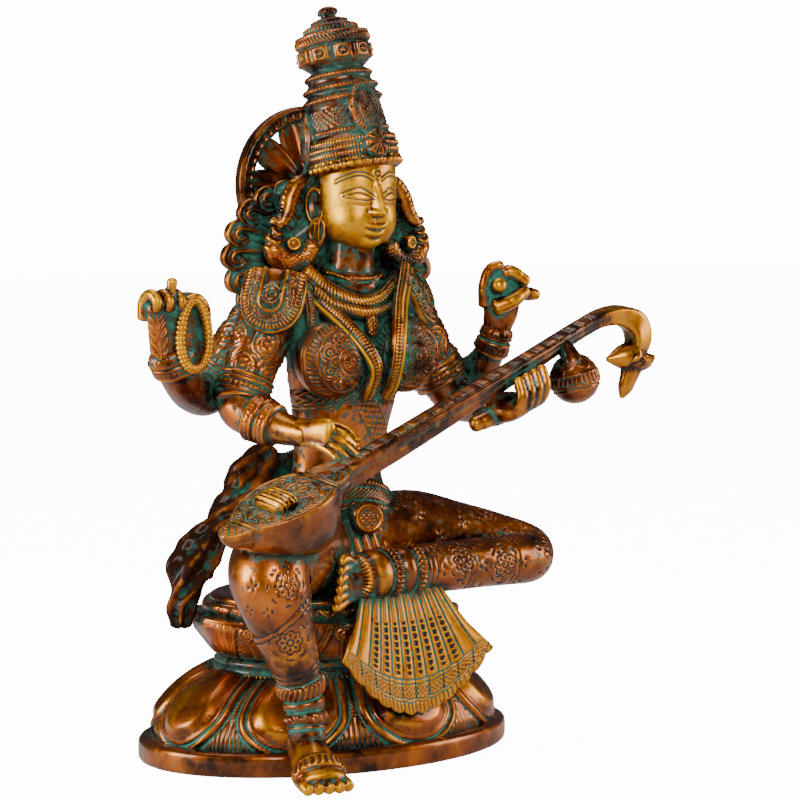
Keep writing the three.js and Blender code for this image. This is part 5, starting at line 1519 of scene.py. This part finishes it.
def veena_neck():
    """The neck: fret pairs on its top, a strip between two lines, and a green line along each side."""
    half, deep, top = NECK_HALF, NECK_DEEP, NECK_TOP
    straight = [[x, 0, top - deep * share, half * wide, deep * share]
                for x, share, wide in ((50, 1, 1), (86, 1, 1), (130, 0.86, 1), (170, 0.7, 0.95))]
    neck = boxed(
        [*straight, [203.7, 0.6, top - deep * 0.6, half * 0.9, deep * 0.6],
         [215.2, 0, -1.8, half * 0.9, deep * 0.65], [226, -1.4, -4.8, half, deep * 0.8],
         [232.2, -3.7, -10.6, half * 1.08, deep], [231.8, -5.1, -17, half * 1.08, deep],
         [228, -5.6, -21.6, half, deep * 0.8]],
        spacing=0.42, power=2 / 0.45, columns=90,
    )
    x, y, z = neck.points.transpose(2, 0, 1)
    depth = np.interp(x, [50, 86, 130, 170, 204], [5.3, 5.3, 4.56, 3.7, 3.2])
    top_side = ramp(neck.out[..., 2], 0.5, 0.9) * (x < 212)
    fret = abs(wrap(x - BOWL_END - 5.4, FRET_PITCH)) - 0.75
    cuts = top_side * (ridge(fret, 0.4) * between(abs(y), 0, 2.9, 0.3) + ridge(abs(y) - 3.2, 0.4))
    sides = ramp(abs(neck.out[..., 1]), 0.5, 0.9) * (x > 58) * (x < 214)
    side_line = ridge(z - top + depth * 0.9, 0.42) * sides
    in_lap(neck.carve(-0.4 * cuts - 0.5 * side_line))
    gilt = 0.5 * ramp(x, 208, 226) + 0.1 + 0.3 * ridge(abs(y) - half, 0.8) * top_side
    return neck.mark(gilt=gilt, ink=0.3 * (side_line + cuts), moss=0.7 * (side_line + cuts))


def bridge():
    """A low block under the strings. Powers below 1 make its ball boxy, and ribs run over its top."""
    middle, halfs = np.array([28.2, 0, 0.4]), np.array([5.8, 7.8, 4.4])
    block = blob(middle, halfs, spacing=0.26)
    local = (block.points - middle) / halfs
    block.points = middle + np.sign(local) * np.abs(local) ** [0.42, 0.38, 0.6] * halfs
    rib = wave(block.points[..., 0] - middle[0], 1.95)
    high = ramp(block.points[..., 2], 2.2, 3.6)
    return in_lap(block.carve(0.4 * rib * high, (0, 0, 1))).mark(gilt=0.35 + 0.4 * ramp(rib, -0.6, 0.4))


def gourd():
    """A round gourd under the neck. d is the way up through it: a double line, a hatched band between
    two lines, and another line, with a flared stem above."""
    centre = np.array([188.1, -7.56, -15.96])
    ball = blob(centre, [GOURD_RADIUS] * 3, spacing=0.45)
    d = (ball.points - centre) @ unit(np.array([0.2, 0.35, 1]))
    height = 0.5 * ridges(d, (-4.2, -2.4, 2.2), 0.5) + 0.35 * np.cos(30 * ball.angle) * between(d, -1.8, 1.6)
    height += 0.25 * ridge(wrap(d - 5.2 - 0.9 * np.sin(5 * ball.angle), 3), 0.5) * ramp(d, 2.8, 3.4)
    ink = 0.5 * ridges(d, (-3.3, -1.7, 1.6), 0.4)
    stem = limb([[*centre, 7.0], [188.4, -6.8, -8.6, 5.2], [188.8, -5.6, -6.4, 4.0], [189.4, -3.2, -4.2, 3.7],
                 [189.8, -1.4, -2.6, 3.2]], spacing=0.5)
    return [in_lap(ball.carve(height)).mark(ink=0.4 * ink, moss=1.6 * ink), in_lap(stem)]


def beast_head():
    """The beast at the neck's end: skull, beak, a leaf-like tongue, crest, cheeks and eyes, which
    overlap and are joined later."""
    parts = [blob([226.6, -6.2, -24], [7.4, 5.6, 6.4], turn=(0, 30, 0), spacing=0.4)]
    for stations, spacing in (
        ([[226.4, -5.6, -22.4, 6.2], [220.4, -4.4, -21.2, 4.8], [214.4, -3, -19.8, 1.3]], 0.35),
        ([[225.9, -6.4, -25, 5, 5.4], [221.4, -7, -30.6, 3.4, 4.4], [218, -7.2, -34.4, 2.6, 3.6],
          [215.8, -7.2, -37, 1, 1.6]], 0.35),
        ([[227, -7, -25, 5], [232, -8, -26.6, 3.8], [236, -8.8, -26.8, 1.3]], 0.35),
        ([[227, -9.8, -20.4, 1.2], [224.4, -10.6, -21.4, 1.3], [221.4, -9.4, -22.2, 0.9]], 0.3),
    ):
        parts.append(limb(stations, side=(0, 1, 0), spacing=spacing))
    for side in (-1, 1):
        parts.append(blob([228, -6.4 + side * 5, -23.4], [2.3, 1.5, 2.3], spacing=0.25))
        parts.append(blob([227.6, -6.4 + side * 6.4, -23.5], [1.1, 0.9, 1.1], spacing=0.2))
    return [in_lap(part) for part in parts]


build("veena_body", "veena", [veena_bowl(), veena_neck()], veena_brass)
build("veena_fittings", "veena", [bridge(), *gourd()], veena_brass)
joined("veena_head", beast_head(), voxel=0.36, gilt=0.36, smooth=3, node="veena", material=veena_brass)

# %% [markdown]
# ## The halo
# A pierced wheel on a pin behind the head. The rim is a square ring with beads on its face; each spoke
# widens towards the hub like a petal. Both faces are finished alike, the back without beads.

# %% Rim, spokes, hub and pin
HALO_MIDDLE = np.array([7, 26, 229])
HALO_OUTER, HALO_INNER, HALO_DEEP = 32.4, 25.6, 2.9
RIM_ROWS, RIM_COLUMNS = 520, 56
RIM_BLOCKS = 52
SPOKES = 10


def rim():
    """A ring with a boxed section: angle goes round the section, turn goes round the wheel. Blocks
    with rounded corners stand side by side on its face, between two edge lines."""
    turn, angle = full_turn(RIM_ROWS)[:, None], full_turn(RIM_COLUMNS)
    far = superellipse(angle, 5)
    middle, half = (HALO_OUTER + HALO_INNER) / 2, (HALO_OUTER - HALO_INNER) / 2
    radius = middle + half * far * np.cos(angle) + 0 * turn
    y = -HALO_DEEP * far * np.sin(angle) + 0 * turn
    ring = Grid(np.stack([radius * np.cos(turn), y, radius * np.sin(turn)], -1) + HALO_MIDDLE, loop=True)
    pitch = ROUND * middle / RIM_BLOCKS
    box = abs(wrap(turn * middle, pitch) / (0.46 * pitch)) ** 4 + abs((radius - 28.6) / 1.7) ** 4
    face = 1.1 * ramp(1 - box, 0, 0.7) - 0.7 * between(radius, 26.6, 30.6, 0.3)
    return ring.carve((face + 0.5 * ridge(abs(radius - middle) - 2.9, 0.5)) * ramp(np.sin(angle), 0.5, 0.9))


def spoke(turn):
    """A petal-like spoke, widest half way, with a vein between two lines."""
    way = np.array([np.cos(turn), 0, np.sin(turn)])
    stations = [[*(HALO_MIDDLE + far * way), wide, 1.6]
                for far, wide in ((6, 2.6), (10, 4.2), (15, 5.7), (20, 6.4), (24, 6), (27, 4.4))]
    grid = limb(stations, side=np.cross(way, (0, 1, 0)), spacing=0.5, ends=(0.1, 0.1))
    across = np.cos(grid.angle)
    return grid.carve(0.4 * ridge(across, 0.25) + 0.35 * ridge(abs(across) - 0.7, 0.15))


hub = lathe([[0.2, -1.7], [8, -1.7], [8.4, -1.2], [8.4, 1.2], [8, 1.7], [6.4, 2.1], [5, 1.7], [3.4, 2.2],
             [0.2, 2.6]], 0.4)
hub.points = np.stack([hub.points[..., 0], -hub.points[..., 2], hub.points[..., 1]], -1) + HALO_MIDDLE
pin = limb([[*(HALO_MIDDLE + [0, -deep, 0]), 3.4] for deep in (0, 10, 19.4)], spacing=0.6, ends=(0.1, 0.1))
build("halo_wheel", "halo", [rim(), hub, pin, *[spoke(turn) for turn in full_turn(SPOKES)]], halo_brass)

# %% [markdown]
# ## Painted shade and verdigris in the hollows
# Under an arm, behind the veena, between petals, a point lies deep when other metal crowds the space
# just in front of it. There the finish paints shade, with browner lacquer, less gold and darker cut
# lines, and verdigris gathers there too, as patina does where a cloth can't reach. So space is cut
# into cells of a millimetre, the cells that hold metal are counted, running means spread the counts,
# and each point reads the count a few millimetres in front of itself. The finish mixes that with the
# carved depths.

# %% Count the metal in front of each point
CELL = 1.0
FRONT = 3.0
MARGIN = 12
REACH = 3
OPEN_CROWD, FULL_CROWD = 0.10, 0.26


def running_mean(field, axis):
    """Running means along one axis, from differences of a running sum."""
    window = 2 * REACH + 1
    total = np.cumsum(np.pad(field, [(REACH + 1, REACH) if i == axis else (0, 0) for i in range(3)]), axis)
    size = field.shape[axis]
    high = np.take(total, np.arange(window, window + size), axis)
    return (high - np.take(total, np.arange(size), axis)) / window


def shade_hollows(pieces):
    """Writes the share of crowded cells in front of each point as the mark shade: painted shade in the
    finish, and a place where verdigris gathers.
    """
    metal = np.concatenate(surface_points)
    low = metal.min(0) - MARGIN
    field = np.zeros(((metal.max(0) + MARGIN - low) / CELL).astype(int), np.float32)
    field[tuple(((metal - low) / CELL).astype(int).T)] = 1
    for _ in range(2):
        for axis in range(3):
            field = running_mean(field, axis)
    for piece in pieces:
        places = read(piece.data).astype(float) / METRES
        fronts = read(piece.data, "vector", "vertex_normals").astype(float)
        crowd = field[tuple(((places + FRONT * fronts - low) / CELL).astype(int).T)]
        shade = np.clip((crowd - OPEN_CROWD) / (FULL_CROWD - OPEN_CROWD), 0, 1)
        write_mark(piece.data, "shade", shade)
        print(f"{piece.name}: mean shade {shade.mean():.2f}, mean crowd {crowd.mean():.3f}")


shade_hollows(made)

# %% [markdown]
# ## Floor, light and camera
# Polished metal shows what stands round it more than it shows its own colour. Wide soft lights to
# both sides give long highlights, and a dim surround between them keeps the brown deep. The camera
# stands where the photograph was taken from: to her right, and a little above her.

# %% Stage
FLOOR_HALF = 6.0
FLOOR_GLOW = 13.0


def stand(name, data, place, way):
    """Puts a light or a camera at a place in mm, so that it looks along a way."""
    thing = bpy.data.objects.new(name, data)
    thing.location = place * METRES
    thing.rotation_euler = way.to_track_quat("-Z", "Y").to_euler()
    bpy.context.scene.collection.objects.link(thing)
    return thing


def light(name, place, aim, size, power, colour=(1, 1, 1)):
    """A soft square light at a place in mm, turned to an aim."""
    data = bpy.data.lights.new(name, "AREA")
    data.size, data.energy, data.color = size * METRES, power, colour
    stand(name, data, Vector(place), Vector(aim) - Vector(place))


def floor():
    """A pale matt floor. To the camera it also glows a little, which leaves its shadows but lifts it
    towards white; the metal sees only the matt floor."""
    mesh = bpy.data.meshes.new("floor")
    corners = [(x * FLOOR_HALF, y * FLOOR_HALF, 0) for x, y in ((-1, -1), (1, -1), (1, 1), (-1, 1))]
    mesh.from_pydata(corners, [], [(0, 1, 2, 3)])
    material, inputs, start = new_material("pale floor")
    inputs["Base Color"].default_value = (0.8, 0.8, 0.8, 1)
    inputs["Roughness"].default_value = 0.9
    seen = start.node("ShaderNodeLightPath", output="Is Camera Ray")
    seen.blend((0, 0, 0, 1), (1, 1, 1, 1)).into(inputs["Emission Color"])
    inputs["Emission Strength"].default_value = FLOOR_GLOW
    mesh.materials.append(material)
    plane = bpy.data.objects.new("floor", mesh)
    bpy.context.scene.collection.objects.link(plane)


def surround():
    """A world that is white to the camera and dim to what the metal reflects."""
    world = bpy.data.worlds.new("studio")
    world.use_nodes = True
    inputs = world.node_tree.nodes["Background"].inputs
    seen = Wire(world.node_tree).node("ShaderNodeLightPath", output="Is Camera Ray")
    seen.blend((0.065, 0.07, 0.085, 1), (14, 14, 14, 1)).into(inputs["Color"])
    inputs["Strength"].default_value = 1.0
    bpy.context.scene.world = world


def camera(azimuth=-33.0, distance=1100.0, height=225.0, aim_aside=30.6, aim_height=142.0, lens=122.4):
    """A camera that looks along the azimuth from a distance, aimed a little aside of the axis."""
    turn = np.radians(azimuth)
    aim = Vector((np.cos(turn), np.sin(turn), 0)) * aim_aside + Vector((0, 0, aim_height))
    place = aim + Vector((np.sin(turn), -np.cos(turn), 0)) * distance
    place.z = height
    data = bpy.data.cameras.new("camera")
    data.sensor_width, data.lens = 36.0, lens
    bpy.context.scene.camera = stand("camera", data, place, aim - place)


floor()
surround()
camera()
light("key", (-350, -1000, 650), (0, 0, 150), 450, 9, (1, 0.96, 0.9))
light("right side", (900, -450, 350), (0, 0, 150), 500, 5, (1, 0.97, 0.93))
light("left rim", (-950, 150, 350), (0, 0, 150), 450, 11, (0.85, 0.92, 1))
light("top", (0, 150, 1100), (0, 0, 0), 700, 5)

# %% Count the triangles
print("all triangles:", sum(len(piece.data.polygons) for piece in made))
